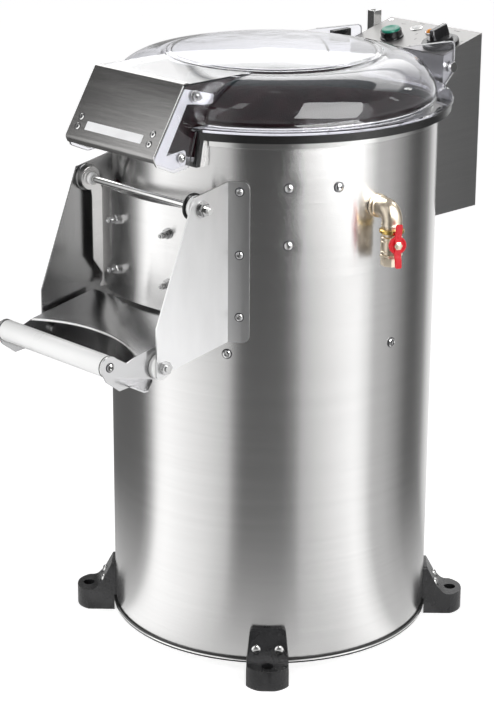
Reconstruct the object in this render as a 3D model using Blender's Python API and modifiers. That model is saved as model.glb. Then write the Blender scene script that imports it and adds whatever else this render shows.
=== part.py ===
"""Floor-standing potato peeler: a steel drum with a clear hinged lid, an outlet and a control box.

Metres, +Z up. The drum's axis is at x = y = 0 while the pieces are modelled, the outlet faces -Y,
the water valve is on the +X side and the control box at +Y. At the end the whole machine is moved
so that the world's origin is the middle of its floor print.
"""

import math

import bmesh
import bpy
from mathutils import Matrix, Vector

# Fits
GAP = 0.0003
CUT_OVERRUN = 0.020
WELD_SIZE = 0.00001
SHEET = 0.0015
STUD_RADIUS = 0.004
HOLE_CLEARANCE = 0.0004

# Counts
ROUND_STEPS = 72
LID_STEPS = 48
MIDDLE_STEPS = 36
SMALL_STEPS = 16
HEX_SIDES = 6
FOOT_COUNT = 4
RIDGE_COUNT = 3

# Drum
DRUM_RADIUS = 0.200
DRUM_BOTTOM = 0.0155
DRUM_TOP = 0.670
BASE_PLATE_THICKNESS = 0.003
BASE_VENT_RADIUS = 0.018
BASE_VENT_REACH = 0.110
TRIM_THICKNESS = 0.0017
TRIM_HEIGHT = 0.0065
TRIM_LEDGE = 0.0022

# Top rim and its rubber gasket
RIM_LEG = 0.014
RIM_REACH = 0.0125
GASKET_WALL = 0.0027
GASKET_INNER_LIP = 0.0045
GASKET_TOP = 0.005
GASKET_UNDER = 0.0035

# Front mouth under the lid's hood
MOUTH_HALF_WIDTH = 0.072
MOUTH_DEPTH = 0.030
MOUTH_SILL = DRUM_TOP - MOUTH_DEPTH
SEAL_WIDTH = 0.006
SEAL_BOTTOM = MOUTH_SILL - SEAL_WIDTH
SEAL_REACH = 0.0025
SEAL_LEAN = 0.008

# Feet
FOOT_ANGLE = math.radians(45)
FOOT_HEIGHT = 0.062
FOOT_TOP_HALF_WIDTH = 0.0215
FOOT_HALF_WIDTH = 0.026
FOOT_PAD_HEIGHT = 0.0265
FOOT_TAPER_END = 0.020
FOOT_REACH = 0.0505
FOOT_NOSE_RADIUS = 0.0293
FOOT_HOLE_REACH = 0.0355
FOOT_HOLE_RADIUS = 0.0075
FOOT_TIP_THICKNESS = 0.004
FOOT_SCREW_HEIGHT = 0.0385
FOOT_SCREW_DEPTH = 0.0165
FOOT_SCREW_SPREAD = 0.014
FOOT_SCREW_BORE = 0.005
FOOT_SCREW_SEAT = 0.008
FOOT_FILLET_REACH = 0.027
FOOT_CORNER = 0.005
FOOT_SOLE_EDGE = 0.002

# Outlet opening, side plates and rod
OUTLET_HALF_WIDTH = 0.0865
OUTLET_DEPTH = 0.082
OUTLET_TOP = DRUM_TOP - OUTLET_DEPTH
OUTLET_HEIGHT = 0.1345
OUTLET_BOTTOM = OUTLET_TOP - OUTLET_HEIGHT
ROD_RISE = 0.004
ROD_HEIGHT = OUTLET_TOP + ROD_RISE
ROD_RADIUS = 0.004
ROD_REACH = 0.014
ROD_END = 0.008
PLATE_HALF_SPAN = 0.1035
PLATE_SHEET = 0.002
PLATE_TOP_RISE = 0.025
PLATE_TOP = ROD_HEIGHT + PLATE_TOP_RISE
PLATE_FALL = 0.010
PLATE_FRONT_TOP = PLATE_TOP - PLATE_FALL
PLATE_ROD_MARGIN = 0.0125
PLATE_TOP_REACH = ROD_REACH + PLATE_ROD_MARGIN
PLATE_FLANGE_WIDTH = 0.026
PLATE_FLANGE_CORNER = 0.008
NUT_RADIUS = 0.008
NUT_HEIGHT = 0.0065
WASHER_RADIUS = 0.016
WASHER_THICKNESS = 0.0035
BUSH_RADIUS = 0.0078

# Outlet door
DOOR_STANDOFF = 0.0155
DOOR_HALF_WIDTH = 0.092
DOOR_BOTTOM_MARGIN = 0.0025
DOOR_BOTTOM = OUTLET_BOTTOM + DOOR_BOTTOM_MARGIN
DOOR_TOP_MARGIN = 0.0035
DOOR_TOP = OUTLET_TOP - DOOR_TOP_MARGIN
DOOR_EAR_RADIUS = 0.014
DOOR_FLANGE_REACH = 0.0125
DOOR_FLANGE_NECK = 0.002
DOOR_FLANGE_BACK = 0.002
DOOR_EAR_DROP = 0.022
DOOR_NOTCH_RISE = 0.016
DOOR_NOTCH_BOTTOM = DOOR_BOTTOM + DOOR_NOTCH_RISE
DOOR_NOTCH_SLANT = 0.0195
DOOR_NOTCH_TOP = DOOR_NOTCH_BOTTOM + DOOR_NOTCH_SLANT
DOOR_TAIL_DROP = 0.0005
DOOR_TAIL = DOOR_BOTTOM - DOOR_TAIL_DROP
DOOR_TAIL_CURL = 0.004
DOOR_TAIL_CORNER = 0.002
DOOR_LINER_MARGIN = 0.002
DOOR_LINER_DEPTH = 0.0035
DOOR_LINER_RISE = 0.0035
DOOR_STUD_SPREAD = 0.0435
DOOR_STUD_LOW_MARGIN = 0.034
DOOR_STUD_HIGH_MARGIN = 0.0335
DOOR_STUD_HEIGHTS = (DOOR_BOTTOM + DOOR_STUD_LOW_MARGIN, DOOR_TOP - DOOR_STUD_HIGH_MARGIN)
DOOR_STUD_RADIUS = 0.003
DOOR_STUD_LENGTH = 0.0165

# Discharge tray with its cheeks and grip
TRAY_PIVOT_REACH = 0.074
TRAY_PIVOT_DROP = 0.036
TRAY_PIVOT_HEIGHT = OUTLET_BOTTOM - TRAY_PIVOT_DROP
TRAY_HALF_WIDTH = 0.0945
TRAY_REAR_REACH = 0.010
TRAY_REAR_RISE = 0.0355
TRAY_REAR_HEIGHT = TRAY_PIVOT_HEIGHT + TRAY_REAR_RISE
TRAY_LENGTH = 0.0964
TRAY_FRONT_REACH = TRAY_REAR_REACH + TRAY_LENGTH
TRAY_FALL = 0.0167
TRAY_FRONT_HEIGHT = TRAY_REAR_HEIGHT - TRAY_FALL
TRAY_SAG = 0.0216
TRAY_ARC_STEPS = 16
GRIP_RADIUS = 0.0125
GRIP_OUTSTAND = 0.0396
GRIP_REACH = TRAY_FRONT_REACH + GRIP_OUTSTAND
GRIP_DROP = 0.0043
GRIP_HEIGHT = TRAY_FRONT_HEIGHT - GRIP_DROP
GRIP_EDGE = 0.0012
CHEEK_SADDLE_BACK = 0.025
CHEEK_SADDLE_DROP = 0.001
CHEEK_LOBE_RADIUS = 0.0128
CHEEK_NOSE_OUT = 0.0052
CHEEK_NOSE_DROP = 0.017
CHEEK_CHIN_BACK = 0.0136
CHEEK_CHIN_DROP = 0.0312
CHEEK_TAIL_DROP = 0.0395
EAR_DROP = 0.0155
EAR_HEIGHT = TRAY_PIVOT_HEIGHT - EAR_DROP
EAR_TIP_HALF_SPAN = 0.120
EAR_FRONT_LENGTH = 0.044
EAR_FRONT_REACH = TRAY_PIVOT_REACH + EAR_FRONT_LENGTH
EAR_TIP_DEPTH = 0.006
EAR_TIP_BACK_REACH = EAR_FRONT_REACH - EAR_TIP_DEPTH
EAR_BEND_DEPTH = 0.0275
EAR_BEND_REACH = EAR_FRONT_REACH - EAR_BEND_DEPTH
EAR_BEND_SPAN = 0.1025
EAR_ROOT_DEPTH = 0.036
EAR_ROOT_REACH = EAR_FRONT_REACH - EAR_ROOT_DEPTH
SPACER_RADIUS = 0.016
PIVOT_HEAD_RADIUS = 0.0075
PIVOT_HEAD_HEIGHT = 0.005

# Side plates round the outlet
PLATE_NOSE = 0.010
PLATE_REACH = TRAY_PIVOT_REACH + PLATE_NOSE
PLATE_CORNER_RISE = 0.0475
PLATE_CORNER = TRAY_PIVOT_HEIGHT + PLATE_CORNER_RISE
PLATE_PIVOT_MARGIN = 0.011
PLATE_BOTTOM = TRAY_PIVOT_HEIGHT - PLATE_PIVOT_MARGIN
PLATE_BACK_RISE = 0.019
PLATE_BACK_BOTTOM = PLATE_BOTTOM + PLATE_BACK_RISE

# Chamber, abrasive disc and drive
LINER_WALL = 0.003
LINER_TOP = SEAL_BOTTOM
FLOOR_DROP = 0.0495
FLOOR_HEIGHT = OUTLET_BOTTOM - FLOOR_DROP
FLOOR_THICKNESS = 0.003
FLOOR_BORE = 0.026
DISC_MARGIN = 0.012
DISC_RADIUS = DRUM_RADIUS - DISC_MARGIN
DISC_LIFT = 0.014
DISC_BOTTOM = FLOOR_HEIGHT + DISC_LIFT
DISC_THICKNESS = 0.012
DISC_CROWN = 0.008
DISC_HUB_RADIUS = 0.022
DISC_HUB_DROP = 0.006
DISC_SOCKET = 0.011
RIDGE_RADIUS = 0.022
RIDGE_SINK = 0.010
RIDGE_LENGTH = 0.130
RIDGE_MIDDLE_REACH = 0.100
SHAFT_RADIUS = 0.010
HOUSING_FLANGE_RADIUS = 0.060
HOUSING_FLANGE_HEIGHT = 0.007
HOUSING_RADIUS = 0.030
PULLEY_HEIGHT = 0.240
PULLEY_WIDTH = 0.022
HOUSING_STANDOFF = 0.023
HOUSING_BOTTOM = PULLEY_HEIGHT + PULLEY_WIDTH + HOUSING_STANDOFF
SHAFT_TAIL = 0.010
SHAFT_BOTTOM = PULLEY_HEIGHT - SHAFT_TAIL
PULLEY_RIM = 0.003
PULLEY_LIP = 0.002
DISC_PULLEY_RADIUS = 0.070
MOTOR_PULLEY_RADIUS = 0.022
BELT_THICKNESS = 0.004
MOTOR_REACH = 0.115
MOTOR_RADIUS = 0.055
MOTOR_STANDOFF = 0.018
MOTOR_TOP = PULLEY_HEIGHT - MOTOR_STANDOFF
MOTOR_FOOT_HEIGHT = 0.006
MOTOR_FOOT_HALF = 0.062
MOTOR_SHAFT_RADIUS = 0.007
MOTOR_SHAFT_END = 0.006
MOTOR_BELL_RADIUS = 0.040
MOTOR_BELL_HEIGHT = 0.012
MOTOR_BOX_SIZE = 0.050
DRAIN_RADIUS = 0.018
DRAIN_WALL = 0.002
DRAIN_SETBACK = 0.060
DRAIN_REACH = DRUM_RADIUS - DRAIN_SETBACK
DRAIN_DROP = 0.054
DRAIN_HEIGHT = FLOOR_HEIGHT - DRAIN_DROP
DRAIN_BEND = 0.030
DRAIN_OUTSIDE = 0.036
DRAIN_BEND_STEPS = 8

# Clear lid: dome, front hood and hinge lugs
LID_WALL = 0.003
LID_OVERHANG = 0.018
LID_FLANGE_RADIUS = DRUM_RADIUS + LID_OVERHANG
LID_FLANGE_THICKNESS = 0.004
LID_FOOT_MARGIN = 0.003
LID_FOOT_RADIUS = DRUM_RADIUS - LID_FOOT_MARGIN
LID_SIDE_HEIGHT = 0.006
LID_SHOULDER_WIDTH = 0.060
LID_SHOULDER_RADIUS = LID_FOOT_RADIUS - LID_SHOULDER_WIDTH
LID_RISE = 0.0585
LID_SHOULDER_HEIGHT = DRUM_TOP + LID_RISE
LID_PLATEAU_MARGIN = 0.012
LID_PLATEAU_RADIUS = LID_SHOULDER_RADIUS - LID_PLATEAU_MARGIN
LID_PLATEAU_RISE = 0.004
LID_PLATEAU_HEIGHT = LID_SHOULDER_HEIGHT + LID_PLATEAU_RISE
LID_CROWN_RISE = 0.0025
LID_CROWN = LID_PLATEAU_HEIGHT + LID_CROWN_RISE
LID_ARC_STEPS = 7
HOOD_HALF_WIDTH = 0.0757
HOOD_RISE = 0.060
HOOD_ROOF = DRUM_TOP + HOOD_RISE
HOOD_BROW_REACH = 0.0155
HOOD_LIP_REACH = 0.0625
HOOD_LIP_DROP = 0.076
HOOD_LIP_HEIGHT = HOOD_ROOF - HOOD_LIP_DROP
HOOD_CHIN_REACH = 0.0568
HOOD_CHIN_DROP = 0.0117
HOOD_CHIN_HEIGHT = HOOD_LIP_HEIGHT - HOOD_CHIN_DROP
HOOD_KEEL_REACH = 0.0315
HOOD_KEEL_DROP = 0.0108
HOOD_KEEL_HEIGHT = HOOD_CHIN_HEIGHT - HOOD_KEEL_DROP
HOOD_HEEL_REACH = 0.0085
HOOD_HEEL_RISE = 0.002
HOOD_HEEL_HEIGHT = HOOD_KEEL_HEIGHT + HOOD_HEEL_RISE
HOOD_CORNER = 0.006
FRONT_PLATE_SHEET = 0.0012
FRONT_PLATE_ROOF_LAP = 0.007
FRONT_PLATE_LIP = 0.007
FRONT_PLATE_BEND = 0.004
BRACKET_TAB_REACH = 0.040
BRACKET_TAB_DEPTH = 0.018
BRACKET_TAB_FALL = 0.012
BRACKET_HEADROOM = 0.0055
BRACKET_TAB_TOP = HOOD_ROOF - BRACKET_HEADROOM
BRACKET_STRIP = 0.015
BRACKET_FOOT_RISE = 0.0235
BRACKET_FOOT_TOP = HOOD_KEEL_HEIGHT + BRACKET_FOOT_RISE
BRACKET_MARGIN = 0.003
BRACKET_FRONT_MARGIN = 0.005
LUG_HALF_SPAN = 0.0783
LUG_WALL = 0.0032
LUG_ROOT_MARGIN = 0.022
LUG_ROOT_REACH = LID_SHOULDER_RADIUS - LUG_ROOT_MARGIN
LUG_ROOT_SINK = 0.001
LUG_ROOT_HEIGHT = LID_SHOULDER_HEIGHT - LUG_ROOT_SINK
HINGE_STANDOFF = 0.032
HINGE_REACH = DRUM_RADIUS + HINGE_STANDOFF
HINGE_RISE = 0.021
HINGE_HEIGHT = DRUM_TOP + HINGE_RISE
LUG_TAIL = 0.0075
LUG_BACK_REACH = HINGE_REACH + LUG_TAIL
LUG_RISE = 0.0325
LUG_TOP = HINGE_HEIGHT + LUG_RISE
LUG_HEEL_DROP = 0.007
LUG_HEEL_HEIGHT = HINGE_HEIGHT - LUG_HEEL_DROP
LUG_TOE_SETBACK = 0.0115
LUG_TOE_REACH = HINGE_REACH - LUG_TOE_SETBACK
LUG_TOE_DROP = 0.024
LUG_TOE_HEIGHT = HINGE_HEIGHT - LUG_TOE_DROP
LUG_FOOT_MARGIN = 0.0045
LUG_FOOT_REACH = DRUM_RADIUS + LUG_FOOT_MARGIN
LUG_CORNER = 0.007
HINGE_BOLT_RADIUS = 0.003
HINGE_HEAD_RADIUS = 0.0065
HINGE_HEAD_HEIGHT = 0.005
HINGE_TAIL = 0.006
MAGNET_SETBACK = 0.023
MAGNET_FRONT = DRUM_RADIUS - MAGNET_SETBACK
MAGNET_LENGTH = 0.033
MAGNET_HEIGHT = 0.013
MAGNET_WIDTH = 0.008
MAGNET_DROP = 0.014
MAGNET_BOTTOM = LUG_TOP - MAGNET_DROP

# Control box
BOX_HALF_WIDTH = 0.078
BOX_HINGE_MARGIN = 0.0125
BOX_FRONT = HINGE_REACH - BOX_HINGE_MARGIN
BOX_DEPTH = 0.0745
BOX_BACK = BOX_FRONT + BOX_DEPTH
BOX_DROP = 0.170
BOX_BOTTOM = DRUM_TOP - BOX_DROP
BOX_RISE = 0.0345
BOX_BACK_HEIGHT = HINGE_HEIGHT + BOX_RISE
BOX_TILT = math.radians(13.8)
STOP_SETBACK = 0.0325
STOP_FRONT = BOX_BACK - STOP_SETBACK
STOP_DEPTH = 0.014
STOP_WIDTH = 0.012
STOP_DROP = 0.0305
STOP_BOTTOM = BOX_BACK_HEIGHT - STOP_DROP
STOP_RISE = 0.0115
STOP_TOP = BOX_BACK_HEIGHT + STOP_RISE
BUTTON_SIDE = -0.027
BUTTON_BACK = 0.0215
BEZEL_RADIUS = 0.0138
BEZEL_WALL = 0.0016
BEZEL_HEIGHT = 0.0105
BEZEL_FLOOR = 0.002
BARREL_RADIUS = 0.010
BARREL_DEPTH = 0.014
BUTTON_PROUD = 0.003
BUTTON_SKIRT = 0.004
BUTTON_STEM_RADIUS = 0.004
BUTTON_EDGE = 0.0012
LAMP_SIDE = -0.0165
LAMP_BACK = 0.0575
LAMP_RADIUS = 0.008
LAMP_HEIGHT = 0.0025
AMBER_SIDE = 0.0135
AMBER_BACK = 0.0505
AMBER_RADIUS = 0.0065
AMBER_HEIGHT = 0.006
LAMP_BARREL_SHARE = 0.7
SELECTOR_SIDE = 0.0515
SELECTOR_BACK = 0.0265
SELECTOR_BASE_RADIUS = 0.024
SELECTOR_BASE_HEIGHT = 0.0055
SELECTOR_BASE_EDGE = 0.0015
KNOB_SKIRT_RADIUS = 0.0165
KNOB_SKIRT_HEIGHT = 0.004
KNOB_TOP = 0.0235
KNOB_LENGTH = 0.033
KNOB_WIDTH = 0.0105
KNOB_TOP_LENGTH_SHARE = 0.86
KNOB_TOP_WIDTH_SHARE = 0.72
KNOB_EDGE = 0.0008
CONTACTOR_WIDTH = 0.090
CONTACTOR_DEPTH = 0.045
CONTACTOR_HEIGHT = 0.080
CONTACTOR_LIFT = 0.040
CONTACTOR_BOTTOM = BOX_BOTTOM + CONTACTOR_LIFT
CONTACTOR_STEP_SHARE = 0.4

# Water inlet and valve
INLET_ANGLE = math.radians(82.4)
INLET_DROP = 0.0885
INLET_HEIGHT = DRUM_TOP - INLET_DROP
INLET_BORE = 0.006
INLET_DEPTH = 0.012
ELBOW_RADIUS = 0.012
ELBOW_REACH = 0.0275
ELBOW_BEND = 0.0125
ELBOW_BEND_STEPS = 6
ELBOW_COLLAR_RADIUS = 0.0135
ELBOW_COLLAR_LENGTH = 0.006
ELBOW_DROP = 0.018
VALVE_NECK_RADIUS = 0.0105
VALVE_NECK_LENGTH = 0.012
VALVE_BODY_RADIUS = 0.0125
VALVE_BODY_LENGTH = 0.021
VALVE_HEX_RADIUS = 0.0138
VALVE_HEX_LENGTH = 0.004
VALVE_TAIL_RADIUS = 0.0122
VALVE_TAIL_LENGTH = 0.010
VALVE_BORE = 0.008
VALVE_NUT_RADIUS = 0.0145
VALVE_NUT_LENGTH = 0.0048
STEM_ANGLE = math.radians(62)
STEM_RADIUS = 0.004
STEM_LENGTH = 0.0175
STEM_DROP_SHARE = 0.3
LEVER_HUB_RADIUS = 0.0105
LEVER_HUB_HEIGHT = 0.004
LEVER_SPAN = 0.026
LEVER_WIDTH = 0.0084
LEVER_THICKNESS = 0.002
LEVER_LIFT = 0.0025
LEVER_NUT_RADIUS = 0.0048
LEVER_NUT_HEIGHT = 0.003
NOZZLE_FLANGE_RADIUS = 0.012
NOZZLE_FLANGE = 0.004
NOZZLE_LENGTH = 0.016

# Looks as colour, roughness and metallic value
STEEL = ((0.62, 0.61, 0.60), 0.30, 1.0)
BOX_STEEL = ((0.36, 0.36, 0.36), 0.38, 1.0)
BRIGHT_STEEL = ((0.75, 0.75, 0.74), 0.18, 1.0)
BLACK_PLASTIC = ((0.012, 0.012, 0.013), 0.28, 0.0)
BLACK_RUBBER = ((0.010, 0.010, 0.010), 0.55, 0.0)
WHITE_PLASTIC = ((0.86, 0.86, 0.84), 0.35, 0.0)
GREEN_PLASTIC = ((0.005, 0.30, 0.22), 0.35, 0.0)
AMBER_PLASTIC = ((0.90, 0.36, 0.03), 0.20, 0.0)
RED_PAINT = ((0.70, 0.012, 0.030), 0.30, 0.0)
BRASS = ((0.72, 0.58, 0.38), 0.25, 1.0)
ABRASIVE = ((0.070, 0.022, 0.028), 0.90, 0.0)
GREY_PAINT = ((0.16, 0.18, 0.20), 0.50, 0.0)
CLEAR = ((0.95, 0.96, 0.98), 0.05, 0.0)

PARTS = "potato_peeler"
HELPERS = "cutters"


# Scene helpers


def clear_scene():
    for obj in list(bpy.data.objects):
        bpy.data.objects.remove(obj, do_unlink=True)
    for name in (PARTS, HELPERS):
        bpy.context.scene.collection.children.link(bpy.data.collections.new(name))


def material(name, look):
    colour, roughness, metallic = look
    made = bpy.data.materials.new(name)
    made.use_nodes = True
    shader = made.node_tree.nodes["Principled BSDF"]
    shader.inputs["Base Color"].default_value = (*colour, 1)
    shader.inputs["Roughness"].default_value = roughness
    shader.inputs["Metallic"].default_value = metallic
    shader.inputs["Transmission Weight"].default_value = float(look is CLEAR)
    return made


def link(obj, collection):
    for old in list(obj.users_collection):
        old.objects.unlink(obj)
    bpy.data.collections[collection].objects.link(obj)
    return obj


def helper(obj):
    """Files a shape that only cuts or joins another away from the parts."""
    obj.hide_render = True
    obj.display_type = "WIRE"
    return link(obj, HELPERS)


def combine(obj, other, operation):
    modifier = obj.modifiers.new(other.name, "BOOLEAN")
    modifier.operation = operation
    modifier.solver = "EXACT"
    modifier.object = helper(other)
    return obj


def cut(obj, *cutters):
    for cutter in cutters:
        combine(obj, cutter, "DIFFERENCE")
    return obj


def join(obj, *others):
    for other in others:
        combine(obj, other, "UNION")
    return obj


def keep_inside(obj, *others):
    for other in others:
        combine(obj, other, "INTERSECT")
    return obj


def attach(obj, parent):
    """Parents an object, and the shapes that cut or join it, where they stand."""
    bpy.context.view_layer.update()
    for modifier in obj.modifiers:
        if modifier.type == "BOOLEAN":
            attach(modifier.object, parent)
    obj.parent = parent
    obj.matrix_parent_inverse = parent.matrix_world.inverted()
    return obj


def empty(name, place, parent=None, turn=(0, 0, 0)):
    made = bpy.data.objects.new(name, None)
    made.location = place
    made.rotation_euler = turn
    link(made, PARTS)
    bpy.context.view_layer.update()
    if parent:
        attach(made, parent)
    return made


def part(obj, name, look, parent, bevel=0):
    """Names a finished piece, gives it its material and files it with the parts."""
    obj.name = name
    if bevel:
        edge = obj.modifiers.new("edges", "BEVEL")
        edge.width = bevel
        edge.segments = 2
        edge.limit_method = "ANGLE"
    obj.data.materials.clear()
    obj.data.materials.append(material(name, look))
    link(obj, PARTS)
    return attach(obj, parent)


# Shape helpers


def mesh_object(name, mesh):
    return link(bpy.data.objects.new(name, mesh), PARTS)


def block(name, low, high):
    """A box between two opposite corners."""
    size = Vector(high) - Vector(low)
    middle = (Vector(high) + Vector(low)) / 2
    mesh = bpy.data.meshes.new(name)
    shape = bmesh.new()
    bmesh.ops.create_cube(shape, size=1)
    bmesh.ops.scale(shape, vec=size, verts=shape.verts)
    bmesh.ops.translate(shape, vec=middle, verts=shape.verts)
    shape.to_mesh(mesh)
    shape.free()
    return mesh_object(name, mesh)


def rod(name, radius, low, high, axis="z", steps=SMALL_STEPS, place=(0, 0, 0)):
    """A cylinder from low to high along an axis, with the axis line through place."""
    mesh = bpy.data.meshes.new(name)
    shape = bmesh.new()
    bmesh.ops.create_cone(
        shape, cap_ends=True, segments=steps, radius1=radius, radius2=radius, depth=high - low
    )
    bmesh.ops.translate(shape, vec=(0, 0, (low + high) / 2), verts=shape.verts)
    turns = {
        "x": Matrix.Rotation(math.pi / 2, 4, "Y"),
        "y": Matrix.Rotation(-math.pi / 2, 4, "X"),
        "z": Matrix.Identity(4),
    }
    bmesh.ops.transform(shape, matrix=turns[axis], verts=shape.verts)
    shape.to_mesh(mesh)
    shape.free()
    mesh.shade_smooth()
    mesh.set_sharp_from_angle(angle=math.radians(40))
    made = mesh_object(name, mesh)
    made.location = place
    return made


def turned(name, profile, steps=ROUND_STEPS):
    """A profile of (radius, height) points turned about Z. It runs down its outer side."""
    ends_on_axis = profile[0][0] == 0 and profile[-1][0] == 0
    pairs = zip(profile, profile[1:] + profile[:1])
    area = sum(a[0] * b[1] - b[0] * a[1] for a, b in pairs)
    points = profile if area < 0 else profile[::-1]
    edges = [(i, i + 1) for i in range(len(points) - 1)]
    if not ends_on_axis:
        edges.append((len(points) - 1, 0))
    mesh = bpy.data.meshes.new(name)
    mesh.from_pydata([(r, 0, z) for r, z in points], edges, [])
    made = mesh_object(name, mesh)
    screw = made.modifiers.new("turn", "SCREW")
    screw.axis = "Z"
    screw.angle = math.tau
    screw.steps = steps
    screw.render_steps = steps
    screw.use_merge_vertices = True
    screw.merge_threshold = WELD_SIZE
    screw.use_smooth_shade = True
    return made


def ring(name, inner, outer, low, high, steps=ROUND_STEPS):
    return turned(name, [(inner, low), (inner, high), (outer, high), (outer, low)], steps)


def meshed(curve):
    """The mesh that a curve makes, with its caps welded, in place of the curve."""
    bpy.context.view_layer.update()
    graph = bpy.context.evaluated_depsgraph_get()
    mesh = bpy.data.meshes.new_from_object(curve.evaluated_get(graph))
    shape = bmesh.new()
    shape.from_mesh(mesh)
    bmesh.ops.remove_doubles(shape, verts=shape.verts, dist=WELD_SIZE)
    bmesh.ops.recalc_face_normals(shape, faces=shape.faces)
    shape.to_mesh(mesh)
    shape.free()
    made = mesh_object(curve.name + "_mesh", mesh)
    made.matrix_world = curve.matrix_world.copy()
    bpy.data.objects.remove(curve, do_unlink=True)
    return made


def finished(obj):
    """The mesh of an object with its cuts and joins made, in world coordinates, in its place."""
    bpy.context.view_layer.update()
    graph = bpy.context.evaluated_depsgraph_get()
    mesh = bpy.data.meshes.new_from_object(obj.evaluated_get(graph))
    mesh.transform(obj.matrix_world)
    for modifier in obj.modifiers:
        bpy.data.objects.remove(modifier.object, do_unlink=True)
    bpy.data.objects.remove(obj, do_unlink=True)
    return mesh


def plate(name, outline, low, high, axis="x"):
    """A flat outline given thickness from low to high along an axis.

    The outline's points are (y, z) for axis x, (x, z) for axis y and (x, y) for axis z.
    """
    curve = bpy.data.curves.new(name, "CURVE")
    curve.dimensions = "2D"
    curve.fill_mode = "BOTH"
    curve.extrude = (high - low) / 2
    spline = curve.splines.new("POLY")
    spline.points.add(len(outline) - 1)
    for point, (u, v) in zip(spline.points, outline):
        point.co = (u, v, 0, 1)
    spline.use_cyclic_u = True
    made = link(bpy.data.objects.new(name, curve), PARTS)
    middle = (low + high) / 2
    quarter = math.pi / 2
    if axis == "x":
        made.rotation_euler = (quarter, 0, quarter)
        made.location = (middle, 0, 0)
    elif axis == "y":
        made.rotation_euler = (quarter, 0, 0)
        made.location = (0, middle, 0)
    else:
        made.location = (0, 0, middle)
    return meshed(made)


def tube(name, path, radius, steps):
    """A solid round bar along a list of points."""
    curve = bpy.data.curves.new(name, "CURVE")
    curve.dimensions = "3D"
    curve.bevel_depth = radius
    curve.bevel_resolution = steps
    curve.use_fill_caps = True
    spline = curve.splines.new("POLY")
    spline.points.add(len(path) - 1)
    for point, place in zip(spline.points, path):
        point.co = (*place, 1)
    return meshed(link(bpy.data.objects.new(name, curve), PARTS))


def arc(centre, radius, start, end, steps):
    """Points along an arc, with angles in degrees from the first axis towards the second."""
    angles = [math.radians(start + (end - start) * i / steps) for i in range(steps + 1)]
    return [(centre[0] + radius * math.cos(a), centre[1] + radius * math.sin(a)) for a in angles]


def rounded(corners, steps=4):
    """An outline whose corners (u, v, radius) are rounded where the radius isn't zero."""
    outline = []
    for i, (u, v, radius) in enumerate(corners):
        here = Vector((u, v))
        if not radius:
            outline.append((u, v))
            continue
        before = (Vector(corners[i - 1][:2]) - here).normalized()
        after = (Vector(corners[(i + 1) % len(corners)][:2]) - here).normalized()
        half = before.angle(after) / 2
        start = here + before * radius / math.tan(half)
        end = here + after * radius / math.tan(half)
        centre = here + (before + after).normalized() * radius / math.sin(half)
        for k in range(steps + 1):
            spoke = (start - centre).slerp(end - centre, k / steps).normalized()
            outline.append(tuple(centre + spoke * radius))
    return outline


def spin(obj, angle):
    """Turns an object about the drum's axis, from the front towards +X."""
    bpy.context.view_layer.update()
    obj.matrix_world = Matrix.Rotation(angle, 4, "Z") @ obj.matrix_world
    return obj


def at_drum(x, radius=DRUM_RADIUS):
    """How far the drum's round wall stands from the X axis plane at a given x."""
    return math.sqrt(radius**2 - x**2)


def radial(angle, reach, height=0):
    """A point at an angle round the drum, counted from the front towards +X."""
    return Vector((math.sin(angle) * reach, -math.cos(angle) * reach, height))


def drum_core(name="drum_core", margin=GAP, low=-CUT_OVERRUN, high=DRUM_TOP + CUT_OVERRUN):
    """The space that the drum takes, for whatever hugs it."""
    return rod(name, DRUM_RADIUS + margin, low, high, steps=ROUND_STEPS)


def front_slot(name, half_width, low, high):
    """A block that goes through the front of the drum's wall."""
    return block(
        name,
        (-half_width, -LID_FLANGE_RADIUS - CUT_OVERRUN, low),
        (half_width, -DRUM_RADIUS / 2, high),
    )


def bolt_profile(head_radius, head_height, shank_radius, shank_length):
    """A bolt along Z whose head sits on z = 0, with its shank below."""
    return [
        (0, head_height),
        (head_radius, head_height),
        (head_radius, 0),
        (shank_radius, 0),
        (shank_radius, -shank_length),
        (0, -shank_length),
    ]


# Drum


def make_drum(root):
    shell = ring("drum", DRUM_RADIUS - SHEET, DRUM_RADIUS, DRUM_BOTTOM, DRUM_TOP)
    mouth_top = DRUM_TOP + CUT_OVERRUN
    cut(
        shell,
        front_slot("outlet_cut", OUTLET_HALF_WIDTH, OUTLET_BOTTOM, OUTLET_TOP),
        front_slot("mouth_cut", MOUTH_HALF_WIDTH, MOUTH_SILL, mouth_top),
        inlet_hole("drum_inlet_hole"),
        rod(
            "drain_hole",
            DRAIN_RADIUS + GAP,
            DRUM_RADIUS - CUT_OVERRUN,
            DRUM_RADIUS + CUT_OVERRUN,
            "y",
            MIDDLE_STEPS,
            (0, 0, DRAIN_HEIGHT),
        ),
    )
    part(shell, "drum_shell", STEEL, root)

    ledge_radius = DRUM_RADIUS - SHEET - GAP
    outer = DRUM_RADIUS + GAP + TRIM_THICKNESS
    inner = ledge_radius - TRIM_LEDGE
    low = DRUM_BOTTOM - GAP - TRIM_THICKNESS
    ledge_top = low + TRIM_HEIGHT - TRIM_THICKNESS
    trim = [
        (outer, low + TRIM_HEIGHT),
        (outer, low),
        (inner, low),
        (inner, ledge_top),
        (ledge_radius, ledge_top),
        (ledge_radius, DRUM_BOTTOM - GAP),
        (DRUM_RADIUS + GAP, DRUM_BOTTOM - GAP),
        (DRUM_RADIUS + GAP, low + TRIM_HEIGHT),
    ]
    part(turned("trim", trim), "base_trim_ring", BLACK_RUBBER, root)

    plate_low = ledge_top + GAP
    floor = rod(
        "base", ledge_radius, plate_low, plate_low + BASE_PLATE_THICKNESS, steps=MIDDLE_STEPS
    )
    for i in range(FOOT_COUNT):
        place = radial(FOOT_ANGLE + i * math.tau / FOOT_COUNT, BASE_VENT_REACH)
        cut(floor, rod("vent", BASE_VENT_RADIUS, -CUT_OVERRUN, DRUM_TOP, place=place))
    part(floor, "base_plate", STEEL, root)
    return plate_low + BASE_PLATE_THICKNESS


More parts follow.
